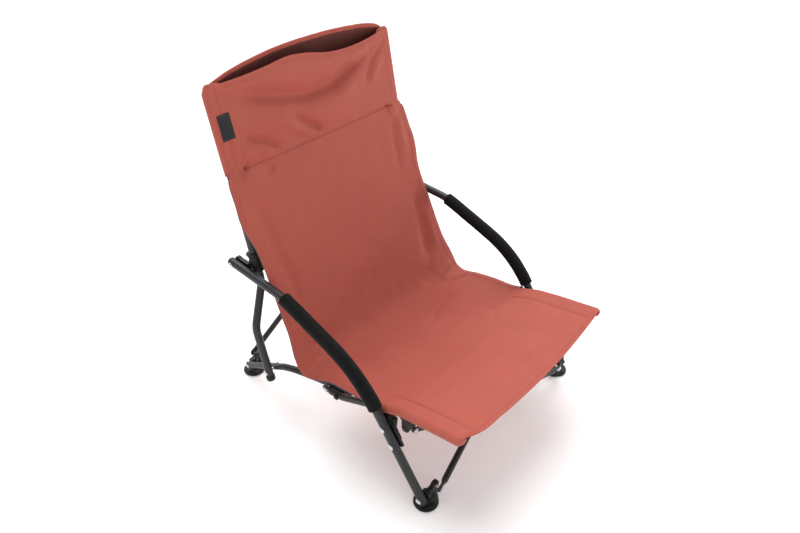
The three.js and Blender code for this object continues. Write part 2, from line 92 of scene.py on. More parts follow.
class Look:
    """A Principled material with short helpers for its node tree."""

    def __init__(self, name, color, roughness, metallic=0.0, **inputs):
        self.color = color
        self.material = bpy.data.materials.new(name)
        self.material.use_nodes = True
        self.tree = self.material.node_tree
        self.shader = self.tree.nodes["Principled BSDF"]
        inputs |= {"Base_Color": (*color, 1), "Roughness": roughness, "Metallic": metallic}
        for key, value in inputs.items():
            self.shader.inputs[key.replace("_", " ")].default_value = value

    def node(self, kind, **settings):
        made = self.tree.nodes.new(kind)
        for key, value in settings.items():
            if key in made.inputs:
                made.inputs[key].default_value = value
            else:
                setattr(made, key, value)
        return made

    def link(self, a, b):
        self.tree.links.new(a, b)

    def noise(self, scale, detail=3.0, rough=0.55, coords=None):
        made = self.node("ShaderNodeTexNoise", Scale=scale, Detail=detail, Roughness=rough)
        if coords is None:
            coords = self.node("ShaderNodeTexCoord").outputs["Object"]
        self.link(coords, made.inputs["Vector"])
        return made.outputs["Fac"]

    def math(self, operation, a, b=None):
        made = self.node("ShaderNodeMath", operation=operation)
        for socket, value in zip(made.inputs, (a, b)):
            if isinstance(value, (int, float)):
                socket.default_value = value
            elif value is not None:
                self.link(value, socket)
        return made.outputs[0]

    def ramp(self, factor, stops):
        made = self.node("ShaderNodeValToRGB")
        while len(made.color_ramp.elements) < len(stops):
            made.color_ramp.elements.new(0.5)
        for element, (at, color) in zip(made.color_ramp.elements, stops):
            element.position = at
            element.color = (*color, 1)
        self.link(factor, made.inputs["Fac"])
        return made.outputs["Color"]

    def tone(self, factor, low, high):
        """Maps a 0..1 factor to a range of values."""
        made = self.node("ShaderNodeMapRange")
        made.inputs["To Min"].default_value = low
        made.inputs["To Max"].default_value = high
        self.link(factor, made.inputs["Value"])
        return made.outputs["Result"]

    def bump(self, height, distance, strength=1.0, after=None):
        made = self.node("ShaderNodeBump", Distance=distance, Strength=strength)
        self.link(height, made.inputs["Height"])
        if after is not None:
            self.link(after, made.inputs["Normal"])
        self.link(made.outputs["Normal"], self.shader.inputs["Normal"])
        return made.outputs["Normal"]

    def paint(self, factor, stops):
        """Colours the surface by a factor; stops are (position, share of its own colour)."""
        tint = self.ramp(factor, [(at, shade(self.color, k)) for at, k in stops])
        self.link(tint, self.shader.inputs["Base Color"])

    def gloss(self, factor, low, high):
        self.link(self.tone(factor, low, high), self.shader.inputs["Roughness"])


def shade(color, k):
    return tuple(min(1.0, c * k) for c in color)


def fabric_look(name, color, pitch=0.0009):
    """Plain-woven polyester canvas: thread bumps along both directions, faint mottling and slubs."""
    look = Look(name, color, 0.82, Sheen_Weight=0.06, Sheen_Roughness=0.45, Specular_IOR_Level=0.5)
    uv = look.node("ShaderNodeUVMap").outputs["UV"]
    split = look.node("ShaderNodeSeparateXYZ")
    look.link(uv, split.inputs[0])
    turn = 2 * math.pi / pitch
    warp = look.math("SINE", look.math("MULTIPLY", split.outputs[0], turn))
    weft = look.math("SINE", look.math("MULTIPLY", split.outputs[1], turn))
    weave = look.math("MULTIPLY", warp, weft)
    stretch = look.node("ShaderNodeMapping")
    stretch.inputs["Scale"].default_value = (900, 40, 1)
    look.link(uv, stretch.inputs["Vector"])
    slubs = look.noise(1.0, 2.0, 0.6, stretch.outputs[0])
    mottle = look.noise(22.0, 5.0)
    mix = look.math("ADD", look.math("MULTIPLY", mottle, 0.55), look.math("MULTIPLY", slubs, 0.45))
    body = look.ramp(mix, [(0.3, shade(color, 0.93)), (0.5, color), (0.72, shade(color, 1.06))])
    threads = look.node("ShaderNodeMix", data_type="RGBA", blend_type="MULTIPLY")
    threads.inputs[0].default_value = 0.35
    grey = look.ramp(look.tone(weave, 0.0, 1.0), [(0.0, (0.72, 0.72, 0.72)), (0.6, (1, 1, 1))])
    look.link(body, threads.inputs[6])
    look.link(grey, threads.inputs[7])
    look.link(threads.outputs[2], look.shader.inputs["Base Color"])
    look.gloss(mottle, 0.62, 0.74)
    soft = look.bump(look.noise(90.0, 5.0), 0.0006, 0.35)
    look.bump(weave, 0.00016, 0.7, soft)
    return look.material


def grained_look(name, color, roughness, grain, patches, stops, gloss, depth, **inputs):
    """A coat or moulding: one fine grain in gloss and height, under slow patches of its colour."""
    look = Look(name, color, roughness, **inputs)
    fine = look.noise(grain, 2.0)
    look.paint(look.noise(patches), stops)
    look.gloss(fine, *gloss)
    look.bump(fine, depth, 0.6)
    return look.material


def foam_look():
    """Near-black closed-cell foam: a soft skin with small cells."""
    color = (0.0050, 0.0050, 0.0056)
    look = Look("black_cell_foam", color, 0.78, Specular_IOR_Level=0.15, Sheen_Weight=0.03)
    cells = look.node("ShaderNodeTexVoronoi", Scale=1100.0)
    look.link(look.node("ShaderNodeTexCoord").outputs["Object"], cells.inputs["Vector"])
    look.paint(look.noise(70.0, 4.0), [(0.3, 0.75), (0.75, 1.5)])
    look.gloss(cells.outputs["Distance"], 0.66, 0.9)
    soft = look.bump(look.noise(160.0, 3.0), 0.0004, 0.4)
    look.bump(cells.outputs["Distance"], 0.0003, 0.5, soft)
    return look.material


def zinc_look():
    """Bright zinc rivets with faint turning marks and rubbed spots."""
    look = Look("bright_zinc", (0.62, 0.63, 0.65), 0.24, 1.0)
    wear = look.noise(420.0, 4.0)
    tint = look.ramp(wear, [(0.3, (0.42, 0.43, 0.45)), (0.65, (0.72, 0.73, 0.75))])
    look.link(tint, look.shader.inputs["Base Color"])
    look.gloss(wear, 0.16, 0.38)
    look.bump(wear, 0.00005, 0.5)
    return look.material


def thread_look(name, color):
    """Twisted thread: its plies show in colour and height."""
    look = Look(name, color, 0.6)
    twist = look.noise(2500.0, 2.0)
    look.paint(twist, [(0.3, 0.7), (0.7, 1.2)])
    look.bump(twist, 0.0001, 0.6)
    return look.material


TERRACOTTA = (0.480, 0.089, 0.057)
FABRIC = fabric_look("terracotta_canvas", TERRACOTTA)
BINDING = fabric_look("terracotta_binding", shade(TERRACOTTA, 0.92), 0.0012)
# Terracotta darkened to 0.30: painted shade for the inside of the head pocket, not a real lining.
POCKET_SHADE_LOOK = fabric_look("terracotta_painted_shade_look", shade(TERRACOTTA, 0.30))
# Dark grey-lilac for the thin tubes along the open edges: painted shade of the hem's turned edge.
EDGE_SHADE_LOOK = thread_look("grey_lilac_painted_edge_shade", (0.16, 0.085, 0.095))
LABEL = fabric_look("black_woven_label", (0.004, 0.004, 0.005), 0.0007)
STEEL = grained_look("charcoal_powder_coat", (0.027, 0.027, 0.029), 0.4, grain=1600.0, patches=30.0,
                     stops=[(0.35, 0.88), (0.7, 1.18)], gloss=(0.32, 0.52), depth=0.00008, metallic=0.2,
                     Specular_IOR_Level=0.4)
PLASTIC = grained_look("black_moulded_nylon", (0.0045, 0.0045, 0.0052), 0.45, grain=2200.0, patches=45.0,
                       stops=[(0.35, 0.8), (0.7, 1.35)], gloss=(0.34, 0.56), depth=0.00012,
                       Specular_IOR_Level=0.35)
FOAM = foam_look()
ZINC = zinc_look()
THREAD = thread_look("terracotta_thread", shade(TERRACOTTA, 0.62))
GREY_THREAD = thread_look("grey_thread", (0.10, 0.10, 0.11))


# Mesh building ----------------------------------------------------------------

class Build:
    """Collects closed shells of one piece in metres."""

    def __init__(self):
        self.verts = []
        self.faces = []
        self.uvs = []
        self.painted_shade_looks = []

    def add(self, verts, faces, uvs=None, painted_shade_looks=None):
        base = len(self.verts)
        self.verts += [tuple(v) for v in verts]
        self.faces += [[base + i for i in f] for f in faces]
        self.uvs += [tuple(c) for c in uvs] if uvs is not None else [(v[0], v[2]) for v in verts]
        self.painted_shade_looks += painted_shade_looks if painted_shade_looks is not None else [0] * len(faces)
        return self

    def make(self, name, look, sharp=40.0, painted_shade_look=None):
        mesh = bpy.data.meshes.new(name)
        mesh.from_pydata(self.verts, [], self.faces)
        layer = mesh.uv_layers.new(name="UVMap")
        loops = np.zeros(len(mesh.loops), np.int32)
        mesh.loops.foreach_get("vertex_index", loops)
        layer.data.foreach_set("uv", np.array(self.uvs, np.float32)[loops].ravel())
        mesh.materials.append(look)
        # The second material goes on the faces flagged for painted shade.
        if painted_shade_look is not None:
            mesh.materials.append(painted_shade_look)
            mesh.polygons.foreach_set("material_index", self.painted_shade_looks)
        mesh.polygons.foreach_set("use_smooth", [True] * len(mesh.polygons))
        mesh.set_sharp_from_angle(angle=math.radians(sharp))
        made = bpy.data.objects.new(name, mesh)
        bpy.context.scene.collection.objects.link(made)
        return made


def finish_piece(piece, body, *replaces):
    """Rides a piece on its body; it may stand for CAD nodes, which it hides."""
    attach(piece, body)
    if replaces:
        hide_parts(*replaces)
    return piece


def bent(corners, radii, steps=14):
    """Points of a bent tube: each inner corner is rounded to its bend radius, in metres."""
    route = [corners[0].copy()]
    for before, corner, after, radius in zip(corners, corners[1:], corners[2:], radii):
        inward = (before - corner).normalized()
        outward = (after - corner).normalized()
        half = inward.angle(outward) / 2
        centre = corner + (inward + outward).normalized() * (radius / math.sin(half))
        start = corner + inward * (radius / math.tan(half)) - centre
        end = corner + outward * (radius / math.tan(half)) - centre
        sweep = start.angle(end)
        for k in range(steps + 1):
            t = k / steps
            a = math.sin((1 - t) * sweep) / math.sin(sweep)
            b = math.sin(t * sweep) / math.sin(sweep)
            route.append(centre + start * a + end * b)
    route.append(corners[-1].copy())
    return route


class Route:
    """A path with positions and tangents at any distance from its start."""

    def __init__(self, points):
        self.points = points
        self.runs = [0.0]
        for a, b in zip(points, points[1:]):
            self.runs.append(self.runs[-1] + (b - a).length)
        self.length = self.runs[-1]
        self.tangents = []
        for i, p in enumerate(points):
            before = (p - points[i - 1]).normalized() if i else None
            after = (points[i + 1] - p).normalized() if i + 1 < len(points) else None
            self.tangents.append(((before or after) + (after or before)).normalized())

    def at(self, d):
        d = min(max(d, 0.0), self.length)
        i = int(np.searchsorted(self.runs, d, side="right")) - 1
        i = min(max(i, 0), len(self.points) - 2)
        t = (d - self.runs[i]) / max(self.runs[i + 1] - self.runs[i], 1e-9)
        tangent = self.tangents[i].lerp(self.tangents[i + 1], t).normalized()
        return self.points[i].lerp(self.points[i + 1], t), tangent


def smooth_step(t):
    t = min(max(t, 0.0), 1.0)
    return t * t * (3 - 2 * t)


def add_rings(build, rings, closed=False, uvs=None, flip=False):
    """Skins rings of equal count; caps both ends unless the rings close on themselves."""
    sides, count = len(rings[0]), len(rings)
    verts = [v for ring in rings for v in ring]
    faces = []
    for i in range(count if closed else count - 1):
        j = (i + 1) % count
        for k in range(sides):
            m = (k + 1) % sides
            faces.append([i * sides + k, i * sides + m, j * sides + m, j * sides + k])
    if not closed:
        faces.append(list(range(sides))[::-1])
        faces.append([(count - 1) * sides + k for k in range(sides)])
    return build.add(verts, [f[::-1] for f in faces] if flip else faces, uvs)


# Pressed tube ends, in metres and shares: where the press starts, its run, how much thinner and wider.
PRESS_START, PRESS_RUN, PRESS_THIN, PRESS_WIDE = 0.030, 0.014, 0.56, 0.2


def add_tube(build, points, radius, across, ends=("cut", "cut"), sides=36):
    """A tube along points in metres. "flat" ends are pressed thin along across, "cut" ends are broken."""
    route = Route(points)
    edge, fine, coarse, near = 0.0005, 0.0015, 0.012, 0.036
    stops = {0.0, edge, route.length - edge, route.length}
    stops |= {at for k in range(1, round(near / fine)) for at in (k * fine, route.length - k * fine)}
    stops |= {r for r in route.runs if near < r < route.length - near}
    steps = int(route.length / coarse)
    stops |= {k * route.length / steps for k in range(steps + 1)}
    rings = []
    for d in sorted(s for s in stops if 0 <= s <= route.length):
        centre, tangent = route.at(d)
        e1 = (across - tangent * across.dot(tangent)).normalized()
        e2 = tangent.cross(e1)
        thin = wide = 1.0
        for kind, reach in zip(ends, (d, route.length - d)):
            if kind == "flat":
                press = smooth_step((PRESS_START - reach) / PRESS_RUN)
                thin *= 1 - PRESS_THIN * press
                wide *= 1 + PRESS_WIDE * press
                tip = radius * 1.2
                if reach < tip:
                    wide *= max(0.12, math.sqrt(max(0.0, 1 - (1 - reach / tip) ** 2)))
                    thin *= 1 - 0.25 * (1 - reach / tip) ** 6
            elif reach < edge:
                thin *= 1 - edge / radius * (1 - reach / edge)
                wide *= 1 - edge / radius * (1 - reach / edge)
        turns = [2 * math.pi * k / sides for k in range(sides)]
        rings.append([centre + e1 * (radius * thin * math.cos(a)) + e2 * (radius * wide * math.sin(a))
                      for a in turns])
    return add_rings(build, rings)


def add_lathe(build, profile, at, axis, sides=30):
    """A shell of revolution; profile is (radius, height) in mm from the axis back to the axis."""
    axis = axis.normalized()
    e1 = axis.orthogonal().normalized()
    e2 = axis.cross(e1)
    turns = [2 * math.pi * k / sides for k in range(sides)]
    rings = []
    for r, h in profile:
        centre = at + axis * (h / 1000)
        reach = max(r, 0.02) / 1000
        rings.append([centre + (e1 * math.cos(a) + e2 * math.sin(a)) * reach for a in turns])
    return add_rings(build, rings)


def dome(r, h, steps=6):
    turns = [math.pi / 2 * k / steps for k in range(steps + 1)]
    return [(r * math.cos(a), h * math.sin(a)) for a in turns]


def add_rivet(build, a, b, heads=(True, True), r=3.0, head_r=5.4, head_h=2.3):
    """A rivet from a to b (metres): its domed heads and washers lie outside the two points."""
    axis = b - a
    length = axis.length * 1000
    washer = 0.7
    rim = [(head_r + 1.1, washer), (head_r + 1.3, washer * 0.5), (head_r + 1.1, 0)]
    head = [(x, y + washer) for x, y in reversed(dome(head_r, head_h))] + rim
    profile = [(x, -y) for x, y in head] if heads[0] else [(0, 0)]
    profile += [(r, 0), (r, length)]
    profile += [(x, length + y) for x, y in reversed(head)] if heads[1] else [(0, length)]
    return add_lathe(build, profile, a, axis)


def add_box(build, low, high, turn=None, about=None):
    """A box between two opposite corners given in metres, optionally turned about a point."""
    corners = [Vector(c) for c in product(*zip(low, high))]
    if turn is not None:
        corners = [about + turn @ (c - about) for c in corners]
    faces = [[0, 1, 3, 2], [4, 6, 7, 5], [0, 4, 5, 1], [2, 3, 7, 6], [0, 2, 6, 4], [1, 5, 7, 3]]
    mirrored = sum(a > b for a, b in zip(low, high)) % 2
    return build.add(corners, [f[::-1] for f in faces] if mirrored else faces)


def add_rod(build, a, b, r, sides=32, edge=0.8):
    """A round bar from a to b (metres) with broken edges; r in mm."""
    length = (b - a).length * 1000
    profile = [(0, 0), (r - edge, 0), (r, edge), (r, length - edge), (r - edge, length), (0, length)]
    return add_lathe(build, profile, a, b - a, sides)


def moulded(name, build, look, voxel, rounds, bores=()):
    """Fuses a build's shells into one moulded solid with softened edges, and cuts round bores through it."""
    made = build.make(name, look)
    remesh = made.modifiers.new("fuse", "REMESH")
    remesh.mode = "VOXEL"
    remesh.voxel_size = voxel
    soften = made.modifiers.new("soften", "SMOOTH")
    soften.factor = 0.5
    soften.iterations = rounds
    tools = []
    for a, b, r in bores:
        length = (b - a).length * 1000
        tool = add_lathe(Build(), [(0, 0), (r, 0), (r, length), (0, length)], a, b - a, 40)
        tools.append(tool.make(name + "_bore", look))
        cut = made.modifiers.new("bore", "BOOLEAN")
        cut.operation = "DIFFERENCE"
        cut.solver = "EXACT"
        cut.object = tools[-1]
    view = bpy.context.evaluated_depsgraph_get()
    view.update()
    mesh = bpy.data.meshes.new_from_object(made.evaluated_get(view))
    made.modifiers.clear()
    made.data = mesh
    mesh.materials.clear()
    mesh.materials.append(look)
    mesh.polygons.foreach_set("use_smooth", [True] * len(mesh.polygons))
    mesh.set_sharp_from_angle(angle=math.radians(50))
    for tool in tools:
        bpy.data.objects.remove(tool)
    return made


def span(s, x0, x1, y, z):
    """Two points across the chair at one height, on side s."""
    return P(s * x0, y, z), P(s * x1, y, z)


# Routes of the tubes, as in the CAD ---------------------------------------------

LEG_ANGLE = math.radians(55.2)
LEG_DIR = Vector((0, math.cos(LEG_ANGLE), math.sin(LEG_ANGLE)))
LAP_START, LAP_SLOPE = (312.0, 112.0), 0.214


def leg_at(s, d):
    return P(s * ARM_X, 0, PIVOT_Z) + LEG_DIR * (d / 1000)


def arm_route(s):
    corners = [leg_at(s, -9), P(s * ARM_X, 171, 272), P(s * ARM_X, 382, 346), P(s * ARM_X, 556, 354.5)]
    return bent(corners, [0.250, 0.180], 20)


def lap_z(y):
    return LAP_START[1] + (LAP_START[0] - y) * LAP_SLOPE


def rear_rail_route(s):
    lap_x = FRONT_RAIL_X - FRONT_RAIL_R - RAIL_R - FIT
    corners = [P(s * RAIL_X, REAR_FOOT_Y + 8, PIVOT_Z - 5.1), P(s * RAIL_X, 396, 136),
               P(s * lap_x, 334, 107), P(s * lap_x, 236, lap_z(236))]
    return bent(corners, [0.060, 0.035])


def front_rail_route(s):
    x = s * FRONT_RAIL_X
    corners = [P(x, *LAP_START), P(x, 248, lap_z(248)), P(x, 75, 212), P(x, -58, 240)]
    return bent(corners, [0.060, 0.200])


def post_route(s):
    corners = [P(s * POST_LOW_X, post_y(82), 82), P(s * POST_LOW_X, post_y(220), 220),
               P(s * POST_X, post_y(316), 316), P(s * POST_X, post_y(POST_SHOWN_Z), POST_SHOWN_Z)]
    return bent(corners, [0.070, 0.070])


def cross_route(s, cross, bow):
    x, (top_y, top_z) = cross["x"], cross["top"]
    start, end = P(s * x, cross["y"], CROSS_PIN_Z), P(-s * x, top_y, top_z)
    along = (end - start).normalized()
    normal = Vector((0, *cross["normal"])).normalized()
    steps = 24
    route = [start.lerp(end, k / steps) + normal * (bow / 1000 * math.sin(math.pi * k / steps))
             for k in range(steps + 1)]
    route[0] -= along * 0.009
    route[-1] += along * 0.006
    return route


# Side frames --------------------------------------------------------------------

def arm_set(side, s):
    """The arm tube with its end plugs, foam grip and leg clip."""
    body = f"arm_{side}"
    route = arm_route(s)
    path = Route(route)
    tube = add_tube(Build(), route, ARM_R / 1000, ACROSS)
    finish_piece(tube.make(f"arm_tube_{side}_steel", STEEL), body, f"arm_tube_{side}")
    plug = [(0, -6), (ARM_R - 1.4, -6), (ARM_R - 1.4, 0.2), (ARM_R + 0.2, 0.2), (ARM_R + 0.2, 1.6),
            (ARM_R - 0.6, 3.4), (ARM_R * 0.6, 4.8), (0, 5.2)]
    plugs = Build()
    for d, sign in ((0.0, -1), (path.length, 1)):
        at, tangent = path.at(d)
        add_lathe(plugs, plug, at, tangent * sign)
    finish_piece(plugs.make(f"arm_plugs_{side}", PLASTIC), body, f"arm_end_cap_{side}")
    grip = foam_sleeve(path).make(f"arm_foam_{side}", FOAM, 60)
    finish_piece(grip, body, f"arm_grip_{side}")
    leg_clip(side, s, body)


def foam_sleeve(path, steps=90, sides=40):
    """A sleeve with rounded, slightly uneven ends and skin that hugs the arm tube."""
    start, stop = (d / 1000 for d in GRIP_RUN)
    length, inner = stop - start, ARM_R + 0.15
    edge = [(0.0, 2.4), (0.0003, 1.4), (0.001, 0.5), (0.0022, 0.0)]
    lip = [(0.0, inner)] + [(d, GRIP_R - cut) for d, cut in edge]
    round_end = lip[-1][0]
    stations = lip + [(round_end + (length - 2 * round_end) * k / steps, GRIP_R) for k in range(1, steps)]
    stations += [(length - d, r) for d, r in reversed(lip)]
    stations += [(length - length * k / steps, inner) for k in range(1, steps)]
    rings = []
    for d, r in stations:
        at, tangent = path.at(start + d)
        level = tangent.cross(ACROSS)
        ring = []
        for a in [2 * math.pi * k / sides for k in range(sides)]:
            out = ACROSS * math.cos(a) + level * math.sin(a)
            p = at + out * (r / 1000)
            if r > inner + 1:
                p += out * (0.00028 * noise.noise(p * 55))
            ring.append(p)
        rings.append(ring)
    return add_rings(Build(), rings, closed=True)


def leg_clip(side, s, body):
    """A saddle against the leg, a shelf for the rail, two ribs and a web between them, and two rivets."""
    clip, rivets = Build(), Build()
    middle = leg_at(s, CLIP_MIDDLE)
    reach = CLIP_HALF / 1000
    low = Vector((s * (ARM_FACE - 6) / 1000, middle.y - reach, middle.z - 0.010))
    high = Vector((s * ARM_FACE / 1000, middle.y + reach, middle.z + 0.010))
    tilt = Matrix.Rotation(math.atan2(LEG_DIR.z, LEG_DIR.y), 3, "X")
    add_box(clip, low, high, tilt, Vector((0, middle.y, middle.z)))
    shelf = P(s * 247.5, 112, 179.8)
    slant = Matrix.Rotation(math.radians(-26.5), 3, "X")
    half = Vector((0.012, 0.013, 0.004))
    add_box(clip, shelf - half, shelf + half, slant, shelf)
    web = [((244, 99, 176), (252, 95, 158), 8.5), ((243, 112, 175), (252, 100, 156), 6.5),
           ((251, 98, 164), (253, 76, 134), 6.2)]
    for (ax, *a), (bx, *b), r in web:
        add_rod(clip, P(s * ax, *a), P(s * bx, *b), r)
    for d in (-0.009, 0.009):
        rib_low = shelf + Vector((-0.009, d - 0.0015, -0.020))
        rib_high = shelf + Vector((0.009, d + 0.0015, -0.002))
        add_box(clip, rib_low, rib_high, slant, shelf)
    for d in CLIP_RIVETS:
        at = leg_at(s, d)
        boss, face, inner, outer = (Vector((s * x / 1000, at.y, at.z))
                                    for x in (ARM_FACE - 7.4, ARM_FACE, ARM_FACE - 6, ARM_X + ARM_R + 0.3))
        add_rod(clip, boss, face, 8.2)
        add_rivet(rivets, inner, outer, (False, True))
    finish_piece(moulded(f"leg_bracket_{side}", clip, PLASTIC, 0.0008, 4), body, f"leg_clip_{side}")
    finish_piece(rivets.make(f"leg_rivets_{side}", ZINC), body,
                 f"leg_clip_rivet_lower_{side}", f"leg_clip_rivet_upper_{side}")


def slider_set(side, s):
    """The sleeve on the post with its collars, its ear for the arm tube, and the ear's rivet."""
    up = Vector((0, POST_LEAN, 1)).normalized()
    low = P(s * POST_X, post_y(SLIDER_Z), SLIDER_Z)
    high = low + up * (SLIDER_HEIGHT / 1000)
    sleeve = Build()
    add_rod(sleeve, low, high, 13.0, 40)
    for d in (0.0, 0.038):
        add_rod(sleeve, low + up * d, low + up * (d + 0.006), 14.4, 40)
    add_box(sleeve, P(s * 250.5, 512, SLIDER_Z), P(s * ARM_FACE, ARM_REAR_PIVOT[0], 363))
    add_rod(sleeve, *span(s, 250.5, ARM_FACE, *ARM_REAR_PIVOT), 11)
    add_box(sleeve, P(s * 230, 510, 358), P(s * 250, 520.5, 380))
    add_rod(sleeve, P(s * 236, 512, 368), P(s * 236, 521, 368), 10)
    bore = [(low - up * 0.01, high + up * 0.01, POST_R + 0.3)]
    body = f"slider_{side}"
    finish_piece(moulded(f"slider_body_{side}", sleeve, PLASTIC, 0.0009, 4, bore), body, body)
    rivet = add_rivet(Build(), *span(s, 250.3, ARM_X + ARM_R + 0.3, *ARM_REAR_PIVOT))
    finish_piece(rivet.make(f"slider_pivot_{side}", ZINC), body, f"slider_rivet_{side}")


def post_set(side, s):
    """A back post with its foot cap and the pin on which it turns."""
    body = f"post_{side}"
    route = post_route(s)
    tube = add_tube(Build(), route, POST_R / 1000, ACROSS)
    finish_piece(tube.make(f"back_post_{side}_steel", STEEL), body, f"back_post_{side}")
    cap = [(0, -8), (POST_R + 1.2, -8), (POST_R + 1.5, -7.2), (POST_R + 1.5, 2.6), (POST_R + 0.8, 4.6),
           (POST_R * 0.7, 6.4), (0, 7.0)]
    foot_cap = add_lathe(Build(), cap, route[0], Vector((0, -POST_LEAN, -1)))
    finish_piece(foot_cap.make(f"post_ferrule_{side}", PLASTIC), body, f"post_foot_cap_{side}")
    pin = add_rivet(Build(), *span(s, RAIL_X - RAIL_R - 0.3, POST_LOW_X + POST_R + 0.3, *POST_PIVOT))
    finish_piece(pin.make(f"post_pivot_{side}", ZINC), body, f"post_pivot_pin_{side}")


def rail_set(side, s):
    """The lapped rear and seat rails with their rivet, bolt and knuckle pin, and the hanger and knuckle."""
    body = f"rail_{side}"
    rear = add_tube(Build(), rear_rail_route(s), RAIL_R / 1000, ACROSS, ("flat", "flat"))
    finish_piece(rear.make(f"rear_rail_{side}_steel", STEEL), body, f"rear_rail_{side}")
    route = front_rail_route(s)
    route[-1] = route[-1] + (route[-2] - route[-1]).normalized() * (TIP_CUT / 1000)
    front = add_tube(Build(), route, FRONT_RAIL_R / 1000, ACROSS, ("flat", "cut"))
    finish_piece(front.make(f"seat_rail_{side}_steel", STEEL), body, f"front_rail_{side}")
    inner = FRONT_RAIL_X - FRONT_RAIL_R - 2 * RAIL_R - FIT - 0.3
    outer = FRONT_RAIL_X + FRONT_RAIL_R + 0.3
    rivet_y, bolt_y = LAP_PINS
    rivet = add_rivet(Build(), *span(s, inner + 4, outer - 4, rivet_y, lap_z(rivet_y)))
    finish_piece(rivet.make(f"rail_rivets_{side}", ZINC), body, f"rail_lap_rivet_{side}")
    pin = add_rivet(Build(), *span(s, FRONT_RAIL_X - FRONT_RAIL_R - 16.5, FRONT_RAIL_X + 7.2, *KNUCKLE))
    finish_piece(pin.make(f"knuckle_pin_{side}", STEEL), body, f"knuckle_rivet_{side}")
    bolt = add_rivet(Build(), *span(s, inner, outer, bolt_y, lap_z(bolt_y)), head_r=6.4, head_h=3.6)
    finish_piece(bolt.make(f"rail_bolt_{side}", PLASTIC), body, f"rail_lap_bolt_{side}")

    y, z = KNUCKLE
    half = FRONT_RAIL_R - 0.6
    near, far = s * (FRONT_RAIL_X - half), s * (FRONT_RAIL_X + half)
    top = 212 + (75 - y) * 0.21
    hanger = Build()
    add_rod(hanger, *span(s, FRONT_RAIL_X - half, FRONT_RAIL_X + half, y, z), 9)
    add_box(hanger, P(near, y - 8.5, z), P(far, y + 8.5, top - 7.6))
    add_box(hanger, P(near, y - 15, top - 16), P(far, y + 13, top - 9.5))
    made = moulded(f"rail_hanger_body_{side}", hanger, PLASTIC, 0.0008, 4)
    finish_piece(made, body, f"rail_hanger_{side}")

    face = FRONT_RAIL_X - FRONT_RAIL_R - FIT
    knuckle = Build()
    add_rod(knuckle, *span(s, face - 16, face, y, z), 8.3)
    away = Vector((0, FRONT_CROSS["top"][0] - y, FRONT_CROSS["top"][1] - z)).normalized()
    hub = P(s * (face - 8), y, z)
    add_rod(knuckle, hub, hub + away * 0.0094, 5)
    made = moulded(f"knuckle_body_{side}", knuckle, PLASTIC, 0.0007, 3)
    finish_piece(made, f"knuckle_{side}", f"cross_knuckle_{side}")


# Feet and crossed tubes ----------------------------------------------------------

PAD_PROFILE = [(0, 0), (25.6, 0), (26.8, 0.8), (27, 2), (27, 4.2), (25.6, 5.2), (22.5, 5.8), (21.5, 7.4),
               (18, 8.6), (15, 9.2), (0, 9.4)]
HUB_PROFILE = [(0, 0), (18, 0), (18, 7), (16.5, 12), (13, 17), (8, 20.6), (0, 22)]


def pin_axis(end, s):
    """The crossed tubes' pin direction on side s; the named axes hold the -X side."""
    axis = FRONT_PIN_AXIS if end == "front" else REAR_PIN_AXIS
    return Vector((-s * axis.x, axis.y, axis.z))


def foot(end, side, s):
    """A round pad with its hub, a cheek for the side pin and a cheek for the crossed tube's pin."""
    front = end == "front"
    cross = FRONT_CROSS if front else REAR_CROSS
    face = -1 if front else 1
    y = 0.0 if front else REAR_FOOT_Y
    block = Build()
    add_lathe(block, PAD_PROFILE, P(s * FOOT_X, y, 0), UP, 56)
    add_lathe(block, HUB_PROFILE, P(s * 243, y, 0), UP, 48)
    add_box(block, P(s * 249.5, y - 11.5, 4), P(s * ARM_FACE, y + 11.5, PIVOT_Z))
    add_rod(block, *span(s, 249.5, ARM_FACE, y, PIVOT_Z), 12)
    inner = cross["x"] - 8
    depth = (y + face * 6.8, y - face * 3)
    add_box(block, P(s * (inner + 1), depth[0], 4), P(s * 252, depth[1], 38))
    centre = P(s * (cross["x"] + 1), depth[0], CROSS_PIN_Z)
    add_rod(block, centre, centre - Vector((0, face * 0.0098, 0)), 10.4)
    add_box(block, P(s * 240, y - 8, 4), P(s * 254, y + 8, 22))
    body = f"{end}_foot_{side}"
    finish_piece(moulded(f"{end}_foot_body_{side}", block, PLASTIC, 0.0010, 5), body, body)

    pins = Build()
    pin_inner = inner + 2 if front else 247
    pin_outer = ARM_X + (ARM_R if front else RAIL_R * 0.44) + 0.4
    add_rivet(pins, *span(s, pin_inner, pin_outer, y, PIVOT_Z))
    axis = pin_axis(end, s)
    centre = P(s * cross["x"], cross["y"], CROSS_PIN_Z)
    add_rivet(pins, centre + axis * 0.0036, centre - axis * 0.019, (True, False))
    made = pins.make(f"{end}_foot_rivets_{side}", ZINC)
    finish_piece(made, body, f"{body}_side_pin", f"{body}_cross_pin")


